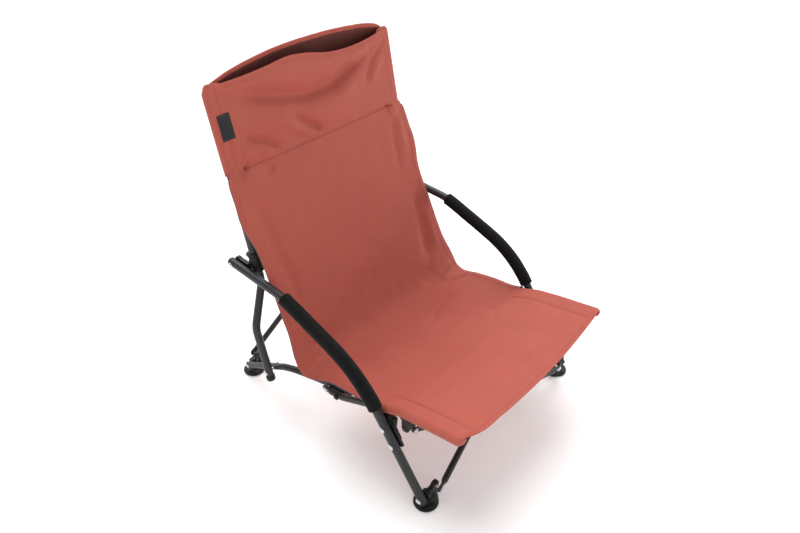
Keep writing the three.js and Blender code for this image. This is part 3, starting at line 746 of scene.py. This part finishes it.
def cross_tubes(end, cross):
    """Two tubes bowed past each other, with the rivets at their upper ends and their centre."""
    normal = Vector((0, *cross["normal"])).normalized()
    centre = (P(0, cross["y"], CROSS_PIN_Z) + P(0, *cross["top"])) / 2
    reach = (CROSS_GAP + CROSS_R + 0.5) / 1000
    for letter, s, sign in (("a", -1, 1), ("b", 1, -1)):
        name, body = f"{end}_cross_tube_{letter}", f"{end}_cross_{letter}"
        route = cross_route(s, cross, sign * CROSS_GAP)
        tube = add_tube(Build(), route, CROSS_R / 1000, pin_axis(end, s), ("flat", "flat"))
        finish_piece(tube.make(f"{name}_steel", STEEL), body, name)
        rivets, replaced = Build(), []
        top = P(-s * cross["x"], *cross["top"])
        back = Vector((0, 0.0035, 0))
        if end == "rear":
            add_rivet(rivets, top - Vector((0, 0.009, 0)), top + back, (False, True))
            stub = [centre + normal * (d * sign) for d in (0.0004, reach)]
            add_rivet(rivets, *stub, (False, True))
            replaced = [f"rear_cross_rivet_{letter}"]
        else:
            add_rivet(rivets, top - back, top + back)
            if letter == "a":
                add_rivet(rivets, centre - normal * reach, centre + normal * reach)
                replaced = ["front_cross_rivet"]
        finish_piece(rivets.make(f"{name}_rivets", ZINC), body, *replaced)


# Fabric sling ----------------------------------------------------------------------

# Side profile of the sling from the top of the back to the front edge of the seat, as (y, z). Points 8 and 10
# are the two bends where the sling is split into its three bodies.
SIDE_LINE = [(567, 741), (533, 569), (509, 508), (488, 454), (465, 398), (440, 346), (404, 263), (378, 210),
             (364, 184), (349, 158), (337, 149.5), (314, 151), (291, 160.5), (266, 170.5), (240, 176),
             (209, 181), (177, 184.5), (150, 190.5), (80, 220.5), (0, 238.5), (-70, 253.5)]
STEP = 1.0


def resample(points, step):
    points = np.array(points, float)
    runs = np.concatenate([[0], np.cumsum(np.hypot(*np.diff(points, axis=0).T))])
    s = np.arange(0, runs[-1] + step / 2, step)
    return s, np.stack([np.interp(s, runs, points[:, i]) for i in (0, 1)], 1), runs


def softened(line, sigma):
    """Gaussian smoothing along a line that keeps its ends."""
    reach = int(3 * sigma / STEP)
    kernel = np.exp(-0.5 * (np.arange(-reach, reach + 1) * STEP / sigma) ** 2)
    kernel /= kernel.sum()
    head = 2 * line[0] - line[1:reach + 1][::-1]
    tail = 2 * line[-1] - line[-reach - 1:-1][::-1]
    padded = np.concatenate([head, line, tail])
    return np.stack([np.convolve(padded[:, i], kernel, "valid") for i in (0, 1)], 1)


# Names with S_ are distances along the sling from its top, in mm.
S_LINE, RAW_LINE, CORNER_RUNS = resample(SIDE_LINE, STEP)
EDGE_LINE = softened(RAW_LINE, 7.0)
MIDDLE_LINE = softened(RAW_LINE, 34.0)
S_END = S_LINE[-1]
S_BACK_END = CORNER_RUNS[8]
S_SEAT_START = CORNER_RUNS[10]
S_SEAM = 174.0
S_CASING = 850.0
HEAD_X, HEAD_R = 245.0, 10.2
TURN, HEM, HEM_FADE = 7.0, 11.0, 1.6

# Half width of the sling below the head, as (distance from the top, mm).
HALF_WIDTH = [(174, 257), (190, 261), (240, 265), (265, 268), (295, 266), (325, 259.5), (440, 259.5),
              (500, 262), (540, 264), (565, 268), (590, 273), (615, 276), (640, 274), (665, 268), (690, 263),
              (715, 261), (800, 260), (830, 257), (850, 256)]

# How far the front edge reaches and droops past its corners, as (share of the half width, mm).
FRONT_REACH = [(-1, 4), (-0.93, 11), (-0.6, 15), (0, 16), (0.6, 14), (1, 11)]
FRONT_DROOP = [(-1, 1), (0, 5), (1, 5)]
FRONT_CORNER, FRONT_RUN = 16.0, 110.0

# Drop of the front panel's top edge at the head, as (mm across, mm), and the run over which it fades.
MOUTH_RUN = 70.0
MOUTH_DROP = [(-245, 0), (-200, 0), (-110, -4), (-45, -9), (0, -4), (60, 9), (120, 13), (180, 9), (225, 2),
              (245, 0)]

# Height of the pocket's rear rim above the line of the posts, as (share of the width, mm).
RIM_ARCH = [(-1, 0), (-0.9, 8), (-0.8, 14), (-0.6, 22), (-0.3, 30), (0, 32.5), (0.3, 31.5), (0.6, 27),
            (0.8, 21), (0.92, 13), (1, 1)]

# Depth of the pocket's rear wall, as (height share, share of the full bulge): the rim leans over the mouth.
POCKET_DEPTH = [(0, 0), (0.3, 0.74), (0.55, 1), (0.8, 0.88), (1, 0.36)]

# Sag of the middle of the sling behind or below its side lines, as (distance from the top, mm).
SAG = [(0, 0), (60, -2), (175, -3), (300, -9), (450, -14), (560, -14), (640, -15), (700, -22), (800, -24),
       (900, -21), (1070, -19)]

# Folds and seams: path as (across, down) in mm, half width, height. A negative height is a valley.
FOLDS = [
    ([(-205, 12), (-100, 24), (0, 33), (110, 28), (200, 10)], 15, 9.0),
    ([(-215, 20), (-120, 52), (-20, 78), (60, 76), (130, 52), (190, 30)], 15, -14.0),
    ([(-150, 98), (-40, 122), (60, 118), (140, 92)], 24, 8.5),
    ([(-75, 100), (-32, 136), (12, 168)], 8, -9.0),
    ([(-100, 118), (-55, 146), (-14, 166)], 9, 6.5),
    ([(-205, 112), (-160, 130), (-108, 166)], 8, -8.0),
    ([(-218, 138), (-175, 150), (-135, 164)], 10, 5.0),
    ([(228, 26), (182, 60), (150, 112)], 9, -4.5),
    ([(206, 62), (176, 104)], 11, 3.4),
    ([(-221, 179), (-203, 164)], 5, -4.5),
    ([(-228, 192), (-196, 188)], 13, 7.5),
    ([(-164, 186), (-146, 204)], 10, -4.0),
    ([(222, 179), (204, 171)], 4.5, -4.5),
    ([(236, 189), (206, 188)], 11, 6.0),
    ([(216, 200), (206, 262), (200, 330)], 10, -4.0),
    ([(238, 205), (230, 300)], 9, 2.4),
    ([(-222, 215), (-212, 330), (-202, 460), (-198, 540)], 16, -5.0),
    ([(224, 392), (214, 490), (196, 594)], 16, -9.0),
    ([(240, 440), (236, 560)], 11, 3.6),
    ([(262, 612), (228, 626), (192, 640)], 10, 6.5),
    ([(196, 596), (168, 618), (148, 634)], 12, -5.0),
    ([(186, 655), (220, 668), (248, 692)], 10, -4.6),
    ([(-214, 588), (-188, 612)], 10, -4.5),
    ([(-246, 638), (-208, 640), (-176, 634)], 9, 4.0),
    ([(-238, 660), (-200, 668), (-160, 672)], 8, -3.0),
    ([(-120, 330), (-20, 300), (70, 318)], 26, 2.2),
    ([(-90, 520), (10, 545), (110, 520)], 30, -3.0),
    ([(40, 737), (112, 705), (172, 693)], 10, -2.0),
    ([(-60, 809), (24, 773)], 10, -1.8),
    ([(116, 872), (172, 829)], 11, -1.8),
    ([(-96, 872), (-30, 903), (40, 907)], 13, 1.7),
    ([(-150, 972), (-70, 952)], 12, -1.5),
    ([(30, 1007), (120, 977)], 13, 1.6),
    ([(-160, 727), (-120, 767)], 12, 1.8),
]
SEAMS = [
    ([(-218, S_SEAM), (218, S_SEAM)], 2.4, -1.6),
    ([(-214, S_CASING + 4), (-214, 1064)], 1.7, -1.1),
    ([(214, S_CASING + 4), (214, 1064)], 1.7, -1.1),
]


def along_path(a, s, path, width):
    """Share of a fold's height at each point: a soft ridge that fades out at both ends of its path."""
    best = np.full(a.shape, 1e9)
    share = np.zeros(a.shape)
    total = sum(math.dist(p, q) for p, q in zip(path, path[1:]))
    run = 0.0
    for p, q in zip(path, path[1:]):
        length = math.dist(p, q)
        ux, uy = (q[0] - p[0]) / length, (q[1] - p[1]) / length
        t = np.clip((a - p[0]) * ux + (s - p[1]) * uy, 0, length)
        d = np.hypot(a - p[0] - t * ux, s - p[1] - t * uy)
        closer = d < best
        best = np.where(closer, d, best)
        share = np.where(closer, (run + t) / total, share)
        run += length
    taper = np.clip(np.minimum(share, 1 - share) * 5, 0.25, 1)
    return np.exp(-(best / width) ** 2) * taper


# Slack of the cloth, as noise: (frequency across, frequency down, place in the noise, mm).
SLACK = [(0.011, 0.008, 3.1, 2.2), (0.034, 0.026, 7.7, 0.8), (0.09, 0.07, 1.9, 0.22)]


def relief(a, s):
    """Height of folds, seams and slack in mm above the plain sling."""
    height = np.zeros(a.shape)
    for path, width, h in FOLDS:
        height += h * along_path(a, s, path, width)
    for path, width, h in SEAMS:
        height += h * np.minimum(1, 4 * along_path(a, s, path, width))
    pucker = np.sin(a * 0.42 + 1.3 * np.sin(a * 0.071)) * np.exp(-((s - S_SEAM) / 9) ** 2)
    height += 0.45 * pucker
    slack = [sum(noise.noise(Vector((u * across, v * down, place))) * size
                 for across, down, place, size in SLACK)
             for u, v in zip(a.ravel(), s.ravel())]
    return height + np.reshape(slack, a.shape)


def ease(s, at, over):
    """0 before a distance, 1 after it."""
    t = np.clip((s - at) / over, 0, 1)
    return t * t * (3 - 2 * t)


def table(value, points):
    """Smooth interpolation in a short table of (position, value) pairs."""
    points = np.array(points, float)
    at = np.clip(value, points[0, 0], points[-1, 0])
    slopes = np.gradient(points[:, 1], points[:, 0])
    i = np.clip(np.searchsorted(points[:, 0], at, side="right") - 1, 0, len(points) - 2)
    x0, x1, y0, y1 = points[i, 0], points[i + 1, 0], points[i, 1], points[i + 1, 1]
    t = (at - x0) / (x1 - x0)
    h = x1 - x0
    return ((2 * t ** 3 - 3 * t ** 2 + 1) * y0 + (t ** 3 - 2 * t ** 2 + t) * h * slopes[i]
            + (3 * t ** 2 - 2 * t ** 3) * y1 + (t ** 3 - t ** 2) * h * slopes[i + 1])


def top_taper(s):
    """The sleeves of the posts narrow towards their closed tops."""
    return 1 - 0.4 * (1 - ease(s, 0, 16))


def wrap_at(s):
    """(half width of the flat part, radius, curl share, arc) of the edges at a distance from the top.

    The head and the front casing curl round tubes; between them the edge only has a narrow turned hem.
    """
    head = 1 - ease(s, S_SEAM - 2, 7)
    casing = ease(s, S_CASING, 5)
    open_width = (1 - head) * (table(s, HALF_WIDTH) - TURN) * (1 - casing)
    flat = HEAD_X * head + open_width + casing * FRONT_RAIL_X
    radius = HEAD_R * head + (9.7 + 1.2 * (1 - ease(s, S_CASING, 50))) * (1 - head)
    radius = radius * top_taper(s)
    corner = np.clip(s - (S_END - FRONT_CORNER), 0, FRONT_CORNER) / FRONT_CORNER
    closing = np.sqrt(np.clip(1 - 0.94 * corner ** 2, 0, 1))
    radius = radius * closing
    flat = flat - 9 * (1 - closing)
    curl = np.maximum(head, casing)
    arc = TURN * (1 - curl) + head * radius * math.pi / 2 + casing * radius * 4.3
    arc = arc - 3.5 * np.exp(-((s - S_SEAM - 5) / 3.5) ** 2)
    return flat, radius, curl, arc


def line_at(s, soft):
    """Side profile at a distance: the edges' line, blended into the softer line of the middle."""
    edge, middle = ([np.interp(s, S_LINE, line[:, i]) for i in (0, 1)] for line in (EDGE_LINE, MIDDLE_LINE))
    return [a * (1 - soft) + b * soft for a, b in zip(edge, middle)]


def cloth(share, s):
    """Points of the sling. share is -1..1 over the flat part and up to 2 either way over the wrap."""
    flat, radius, curl, arc = wrap_at(s)
    sign = np.sign(share)
    lateral = np.minimum(np.abs(share), 1) * flat
    over = np.clip(np.abs(share) - 1, 0, 1) * arc
    part = lateral / flat
    soft = 1 - part ** 4
    line, ahead, behind = line_at(s, soft), line_at(s + 1, soft), line_at(s - 1, soft)
    ty, tz = ahead[0] - behind[0], ahead[1] - behind[1]
    size = np.hypot(ty, tz)
    ty, tz = ty / size, tz / size
    ny, nz = tz, -ty
    sag = np.interp(s, *np.array(SAG, float).T) * (1 - part ** 2)
    across = sign * (lateral + over)
    height = relief(across, s) * np.clip(1.15 - over / 8, 0.12, 1) * np.clip((1.06 - part) * 14, 0.3, 1)
    height = sag + height
    bend = np.maximum(curl, 1e-3) / radius
    x = sign * (lateral + np.sin(over * bend) / bend)
    drop = (1 - np.cos(over * bend)) / bend
    angle = over * bend
    lift = height * np.cos(angle)
    x = x + sign * height * np.sin(angle)
    front = ease(s, S_END - FRONT_RUN, FRONT_RUN)
    mouth = (1 - ease(s, 0, MOUTH_RUN)) * table(across, MOUTH_DROP) * (over < 1)
    along = front * table(sign * part, FRONT_REACH) + mouth
    y = line[0] + ny * (lift - drop) + ty * along
    z = line[1] + nz * (lift - drop) + tz * along - front * table(sign * part, FRONT_DROOP)
    return np.stack([x, y - CENTRE_Y, z], -1) / 1000, across


def grid_normals(grid):
    du = np.gradient(grid, axis=1)
    dv = np.gradient(grid, axis=0)
    normal = np.cross(dv, du)
    return normal / np.maximum(np.linalg.norm(normal, axis=-1, keepdims=True), 1e-12)


def add_sheet(build, grid, uv, thick, hem_rows=0):
    """A closed sheet round a grid of middle points; thick is in metres. Past its hem rows one face is flagged
    for a second material, the painted shade.
    """
    rows, cols = grid.shape[:2]
    half = grid_normals(grid) * np.broadcast_to(np.asarray(thick, float), (rows, cols))[..., None] / 2
    verts = np.concatenate([(grid + half).reshape(-1, 3), (grid - half).reshape(-1, 3)])
    n = rows * cols
    faces, painted_shade_looks = [], []
    for i in range(rows - 1):
        for a in range(i * cols, (i + 1) * cols - 1):
            d = a + cols
            faces += [[d, d + 1, a + 1, a], [n + a, n + a + 1, n + d + 1, n + d]]
            painted_shade_looks += [0, int(i >= hem_rows)]
    rim = [(i * cols + j, (i + 1) * cols + j, j > 0) for j in (0, cols - 1) for i in range(rows - 1)]
    rim += [(i * cols + j, i * cols + j + 1, i == 0) for i in (0, rows - 1) for j in range(cols - 1)]
    for a, b, turned in rim:
        face = [a, n + a, n + b, b]
        faces.append(face[::-1] if turned else face)
    painted_shade_looks += [0] * len(rim)
    return build.add(verts, faces, np.tile(uv.reshape(-1, 2), (2, 1)), painted_shade_looks)


FLAT_COLS = 132
WRAP_COLS = 14
SHARES = np.concatenate([-1 - np.linspace(1, 0, WRAP_COLS + 1)[:-1], np.linspace(-1, 1, FLAT_COLS + 1),
                         1 + np.linspace(0, 1, WRAP_COLS + 1)[1:]])
CLOTH_THICK = 0.0012


def sling_rows(start, stop, pitch=3.4):
    """Distances of a stretch's rows; the steps of the seam and the casing get rows of their own."""
    count = max(4, int(round((stop - start) / pitch)))
    rows = set(np.linspace(start, stop, count + 1))
    for mark in (S_SEAM, S_CASING):
        rows |= {mark + d for d in (-3.0, -1.5, 0.0, 1.5, 3.0, 4.5, 6.0) if start < mark + d < stop}
    if stop > S_END - 20:
        rows |= set(np.linspace(S_END - 15, S_END, 12))
    return np.array(sorted(rows))


def sling_piece(name, body, rows):
    """One stretch of the sling as a closed sheet; its side hems and its two end hems are thicker."""
    share, s = np.meshgrid(SHARES, rows)
    grid, across = cloth(share, s)
    edge = np.minimum(s, S_END - s)
    open_side = ease(s, S_SEAM + 6, 3) - ease(s, S_CASING - 4, 3)
    side_hem = ease(np.abs(across) - table(s, HALF_WIDTH), -HEM - 2, HEM_FADE) * open_side
    thick = CLOTH_THICK + 0.0011 * np.maximum(1 - ease(edge, HEM, HEM_FADE), side_hem)
    uv = np.stack([across, s], -1) / 1000
    piece = add_sheet(Build(), grid, uv, thick).make(name, FABRIC, 70)
    soft_piece(piece, body, body)


def soft_piece(piece, body, *replaces):
    """A piece of the sling: it rides its body on a mesh of its own."""
    finish_piece(piece, body, *replaces)
    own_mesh(piece)


def point_on(across, s, lift=0.0):
    """A point of the sling in metres and its normal, from the distance across in mm."""
    s = np.atleast_1d(np.array(s, float))
    across = np.atleast_1d(np.array(across, float))
    flat, _, _, arc = wrap_at(s)

    def place(a, d):
        size = np.abs(a)
        share = np.sign(a) * np.where(size <= flat, size / flat, 1 + (size - flat) / arc)
        return cloth(share, d)[0]

    here = place(across, s)
    normal = np.cross(place(across, s + 0.5) - here, place(across + 0.5, s) - here)
    normal /= np.maximum(np.linalg.norm(normal, axis=-1, keepdims=True), 1e-12)
    return here + normal * lift, normal


def add_stitches(build, points, normals, pitch=0.0042, length=0.0029, r=0.00042):
    """Short threads laid end to end along a line of points, raised on their normals."""
    points = [Vector(p) for p in points]
    route = Route(points)
    count = int(route.length / pitch)
    for k in range(count):
        d = (k + 0.5) * pitch
        at, tangent = route.at(d)
        i = min(int(np.searchsorted(route.runs, d)), len(normals) - 1)
        up = Vector(normals[i]).normalized()
        side = tangent.cross(up).normalized()
        rings = []
        for t, w in ((-1.0, 0.25), (-0.72, 0.85), (0.0, 1.0), (0.72, 0.85), (1.0, 0.25)):
            centre = at + tangent * (t * length / 2) - up * (r * 0.5 * t * t)
            rings.append([centre + (side * math.cos(a) + up * math.sin(a)) * (r * w)
                          for a in [math.pi * m / 3 for m in range(6)]])
        add_rings(build, rings)
    return build


def stitch_line(build, path, lift):
    """Stitches along a path of (across, down) in mm on the sling, lifted by mm."""
    across, down = [], []
    for (a0, s0), (a1, s1) in zip(path, path[1:]):
        steps = max(2, int(math.dist((a0, s0), (a1, s1)) / 4))
        for k in range(steps):
            across.append(a0 + (a1 - a0) * k / steps)
            down.append(s0 + (s1 - s0) * k / steps)
    points, normals = point_on(across, down, lift / 1000)
    return add_stitches(build, points, normals)


def hem_path(s, start, stop):
    """Path of a side hem's stitches, as (across, down)."""
    return [(s * (float(table(d, HALF_WIDTH)) - HEM), d) for d in np.linspace(start, stop, 24)]


def painted_edge_shade(name, body, start, stop):
    """Thin dark tube along both open sides of the sling: painted shade of the hem's turned edge, not a bound
    edge.
    """
    build = Build()
    for s in (-1, 1):
        rows = np.linspace(start, stop, max(4, int((stop - start) / 6)))
        grid, _ = cloth(np.full(rows.shape, s * 2.0), rows)
        add_tube(build, [Vector(p) for p in grid], 0.00125, Vector((0, 0.6, 0.8)), sides=8)
    soft_piece(build.make(name, EDGE_SHADE_LOOK), body)


def head_pocket():
    """Rear wall of the pocket: it wraps behind both posts, bulges rearward and arches above the mouth."""
    bottom, sewn, bulge, rim_run = S_SEAM + 3, 2.2, 27, 26
    rows = np.linspace(0, bottom, 52)
    turns = np.linspace(0, 1, 9)
    cols = [(-1, t) for t in turns[:-1]] + [(0, a) for a in np.linspace(-1, 1, 97)]
    cols += [(1, t) for t in turns[::-1][1:]]
    sag = np.array(SAG, float).T
    grid = np.zeros((len(rows), len(cols), 3))
    uv = np.zeros((len(rows), len(cols), 2))
    for i, s in enumerate(rows):
        y0, z0 = (np.interp(s, S_LINE, EDGE_LINE[:, k]) for k in (0, 1))
        y1, z1 = (np.interp(s + 1, S_LINE, EDGE_LINE[:, k]) for k in (0, 1))
        size = math.hypot(y1 - y0, z1 - z0)
        ty, tz = (y1 - y0) / size, (z1 - z0) / size
        ny, nz = tz, -ty
        up = 1 - s / bottom
        radius = HEAD_R * float(top_taper(s))
        for j, (sign, value) in enumerate(cols):
            if sign:
                angle = math.pi / 2 * (1 + value)
                x = sign * (HEAD_X + radius * math.sin(angle))
                run = sign * (HEAD_X + radius * (math.pi - angle))
                back = radius - radius * math.cos(angle)
                arch = 0.0
            else:
                x = run = value * HEAD_X
                bow = 1 - value ** 2
                full = 2 * radius + bulge * bow ** 0.8
                deep = sewn + (full - sewn) * float(table(up, POCKET_DEPTH))
                rim = smooth_step((1 - abs(value)) * HEAD_X / rim_run)
                back = 2 * radius + (deep - 2 * radius) * rim
                back -= np.interp(s, *sag) * bow * (1 - up)
                ripple = noise.noise(Vector((x * 0.016, s * 0.013, 11.0))) * 3.0
                ripple += noise.noise(Vector((x * 0.05, s * 0.03, 4.0))) * 0.9
                back += ripple * rim * smooth_step(up * 3)
                arch = float(table(value, RIM_ARCH)) * up ** 1.5
            y = y0 - ny * back - ty * arch
            z = z0 - nz * back - tz * arch
            grid[i, j] = (x / 1000, (y - CENTRE_Y) / 1000, z / 1000)
            uv[i, j] = (run / 1000, -s / 1000 + 2)
    hem = 1 - ease(np.broadcast_to(rows[:, None], grid.shape[:2]), HEM, HEM_FADE)
    return grid, uv, CLOTH_THICK + 0.0012 * hem


def corner_patch(build, s):
    """Small reinforced cap that closes the top of a post's sleeve and runs inward to a point."""
    tangent = np.array(SIDE_LINE[1], float) - SIDE_LINE[0]
    tangent /= np.linalg.norm(tangent)
    normal = np.array((tangent[1], -tangent[0]))
    radius, apex = HEAD_R * 0.66, (-30.0, -3.0)
    arc = [(radius * math.sin(a), -radius * math.cos(a)) for a in (math.pi * k / 18 for k in range(19))]
    outline = arc + between(arc[-1], apex) + [apex] + between(apex, arc[0])
    steps = 7
    stations = [(r, 0.0) for r in range(1, steps + 1)] + [(r, -1.4) for r in range(steps, 0, -1)]
    rings, uvs = [], []
    for r, drop in stations:
        share = r / steps
        lift = 4.6 * (1 - share ** 2.4) + drop - (2.6 * max(0.0, share - 0.86) / 0.14)
        ring = []
        for x, back in outline:
            px = HEAD_X - 1 + x * share
            offset = HEAD_R * 0.6 + back * share
            y, z = np.array(SIDE_LINE[0]) - normal * offset - tangent * (lift + 0.5)
            ring.append(P(s * px, y, z))
            uvs.append((px / 1000, back * share / 1000))
        rings.append(ring)
    add_rings(build, rings, uvs=uvs, flip=s > 0)


def between(a, b, steps=9):
    """The inner points of a straight run from a to b."""
    return [tuple(p + (q - p) * k / steps for p, q in zip(a, b)) for k in range(1, steps)]


def sling():
    """The sling's three stretches, the head pocket, corner patches, painted edge shade lines, stitches and
    label.
    """
    sling_piece("sling_back_cloth", "sling_back", sling_rows(0, S_BACK_END))
    lumbar_rows = sling_rows(S_BACK_END, S_SEAT_START, 2.6)
    sling_piece("sling_lumbar_cloth", "sling_lumbar", lumbar_rows)
    sling_piece("sling_seat_cloth", "sling_seat", sling_rows(S_SEAT_START, S_END))

    grid, uv, thick = head_pocket()
    # Below its top hem, the wall's face towards the pocket takes the painted shade material.
    wall = add_sheet(Build(), grid[:, ::-1], uv[:, ::-1], thick, 2)
    pocket = wall.make("head_pocket_cloth", FABRIC, 70, POCKET_SHADE_LOOK)
    soft_piece(pocket, "sling_back", "head_pocket")

    patches = Build()
    for _, s in SIDES:
        corner_patch(patches, s)
    soft_piece(patches.make("corner_patches", BINDING, 60), "sling_back")
    painted_edge_shade("back_painted_edge_shade", "sling_back", S_SEAM + 10, S_BACK_END)
    painted_edge_shade("seat_painted_edge_shade", "sling_seat", S_SEAT_START, S_CASING - 6)

    hem, flat, front = 1.3, 0.9, S_END - 9.5
    threads = Build()
    stitch_line(threads, [(-236, 9), (236, 9)], hem)
    stitch_line(threads, [(-232, S_SEAM + 2.5), (232, S_SEAM + 2.5)], flat)
    for s in (-1, 1):
        stitch_line(threads, hem_path(s, S_SEAM + 14, S_BACK_END - 2), hem)
        stitch_line(threads, [(s * 232, 12), (s * 232, S_SEAM - 6)], flat)
    soft_piece(threads.make("back_stitching", THREAD), "sling_back")
    threads = Build()
    for s in (-1, 1):
        stitch_line(threads, hem_path(s, S_SEAT_START + 3, S_CASING - 4), hem)
        for x in (216, 212.5):
            stitch_line(threads, [(s * x, S_CASING + 3), (s * x, S_END - 12)], flat)
    stitch_line(threads, [(-240, front), (240, front)], 1.4)
    soft_piece(threads.make("seat_stitching", THREAD), "sling_seat")
    label()


def label():
    """Blank woven side label, sewn near the left edge of the head pocket."""
    a, s = np.meshgrid(np.linspace(-245, -216, 15), np.linspace(56, 108, 25))
    points, _ = point_on(a.ravel(), s.ravel(), 0.0014)
    tag = add_sheet(Build(), points.reshape(*a.shape, 3), np.stack([a, s], -1) / 1000, 0.0006)
    soft_piece(tag.make("woven_label", LABEL, 60), "sling_back", "side_label")
    threads = Build()
    for down in (59, 105):
        stitch_line(threads, [(-243, down), (-218, down)], 2.0)
    soft_piece(threads.make("label_stitching", GREY_THREAD), "sling_back")


# Stage ------------------------------------------------------------------------------

# Backdrop: the height of the view where its white band starts and stops to fade, and the strength at both.
WORLD_FADE = (0.30, 0.52, 0.96, 0.28)


def put(name, data, at=(0, 0, 0), facing=None):
    """Links an object into the scene, turned to face along a direction."""
    made = bpy.data.objects.new(name, data)
    made.location = at
    if facing is not None:
        made.rotation_euler = Vector(facing).to_track_quat("-Z", "Y").to_euler()
    bpy.context.scene.collection.objects.link(made)
    return made


def area_light(name, at, target, size, power):
    data = bpy.data.lights.new(name, "AREA")
    data.shape = "DISK"
    data.size = size
    data.energy = power
    put(name, data, at, Vector(target) - Vector(at))


def pale_floor():
    look = Look("pale_floor", (0.90, 0.90, 0.90), 0.9, Emission_Color=(1, 1, 1, 1), Emission_Strength=0.22)
    look.bump(look.noise(40.0), 0.0005, 0.1)
    size = 90.0
    mesh = bpy.data.meshes.new("floor")
    corners = [(-size, -size, 0), (size, -size, 0), (size, size, 0), (-size, size, 0)]
    mesh.from_pydata(corners, [], [[0, 1, 2, 3]])
    mesh.materials.append(look.material)
    put("floor", mesh, (0, 0, -0.0004))


def backdrop():
    """A white world that fades upwards, so that low views have no grey horizon."""
    world = bpy.data.worlds.new("studio")
    world.use_nodes = True
    nodes, links = world.node_tree.nodes, world.node_tree.links
    split = nodes.new("ShaderNodeSeparateXYZ")
    links.new(nodes.new("ShaderNodeTexCoord").outputs["Generated"], split.inputs[0])
    fade = nodes.new("ShaderNodeMapRange")
    links.new(split.outputs[2], fade.inputs[0])
    for socket, value in zip(fade.inputs[1:5], WORLD_FADE):
        socket.default_value = value
    links.new(fade.outputs[0], nodes["Background"].inputs["Strength"])
    nodes["Background"].inputs["Color"].default_value = (1, 1, 1, 1)
    bpy.context.scene.world = world


def stage():
    """Floor, backdrop, lights, and the camera at the photograph's angle."""
    pale_floor()
    backdrop()
    sun = bpy.data.lights.new("overhead_panel", "SUN")
    sun.energy = 3.1
    sun.angle = math.radians(55)
    put("overhead_panel", sun, facing=(-0.25, -0.40, -0.86))
    area_light("front_softbox", (-1.5, -2.0, 1.5), (0, 0, 0.4), 1.6, 6)
    area_light("side_softbox", (2.0, -0.7, 1.3), (0, 0, 0.35), 1.4, 12)
    data = bpy.data.cameras.new("camera")
    data.lens = 29.54
    data.sensor_width = 36.0
    scene = bpy.context.scene
    scene.camera = put("camera", data, (-0.887, -0.7728, 1.211), (0.5952, 0.5354, -0.5993))
    scene.view_settings.view_transform = "Standard"
    scene.view_settings.exposure = 0.0


stage()
for side_name, side_sign in SIDES:
    arm_set(side_name, side_sign)
    slider_set(side_name, side_sign)
    post_set(side_name, side_sign)
    rail_set(side_name, side_sign)
    foot("front", side_name, side_sign)
    foot("rear", side_name, side_sign)
cross_tubes("front", FRONT_CROSS)
cross_tubes("rear", REAR_CROSS)
sling()
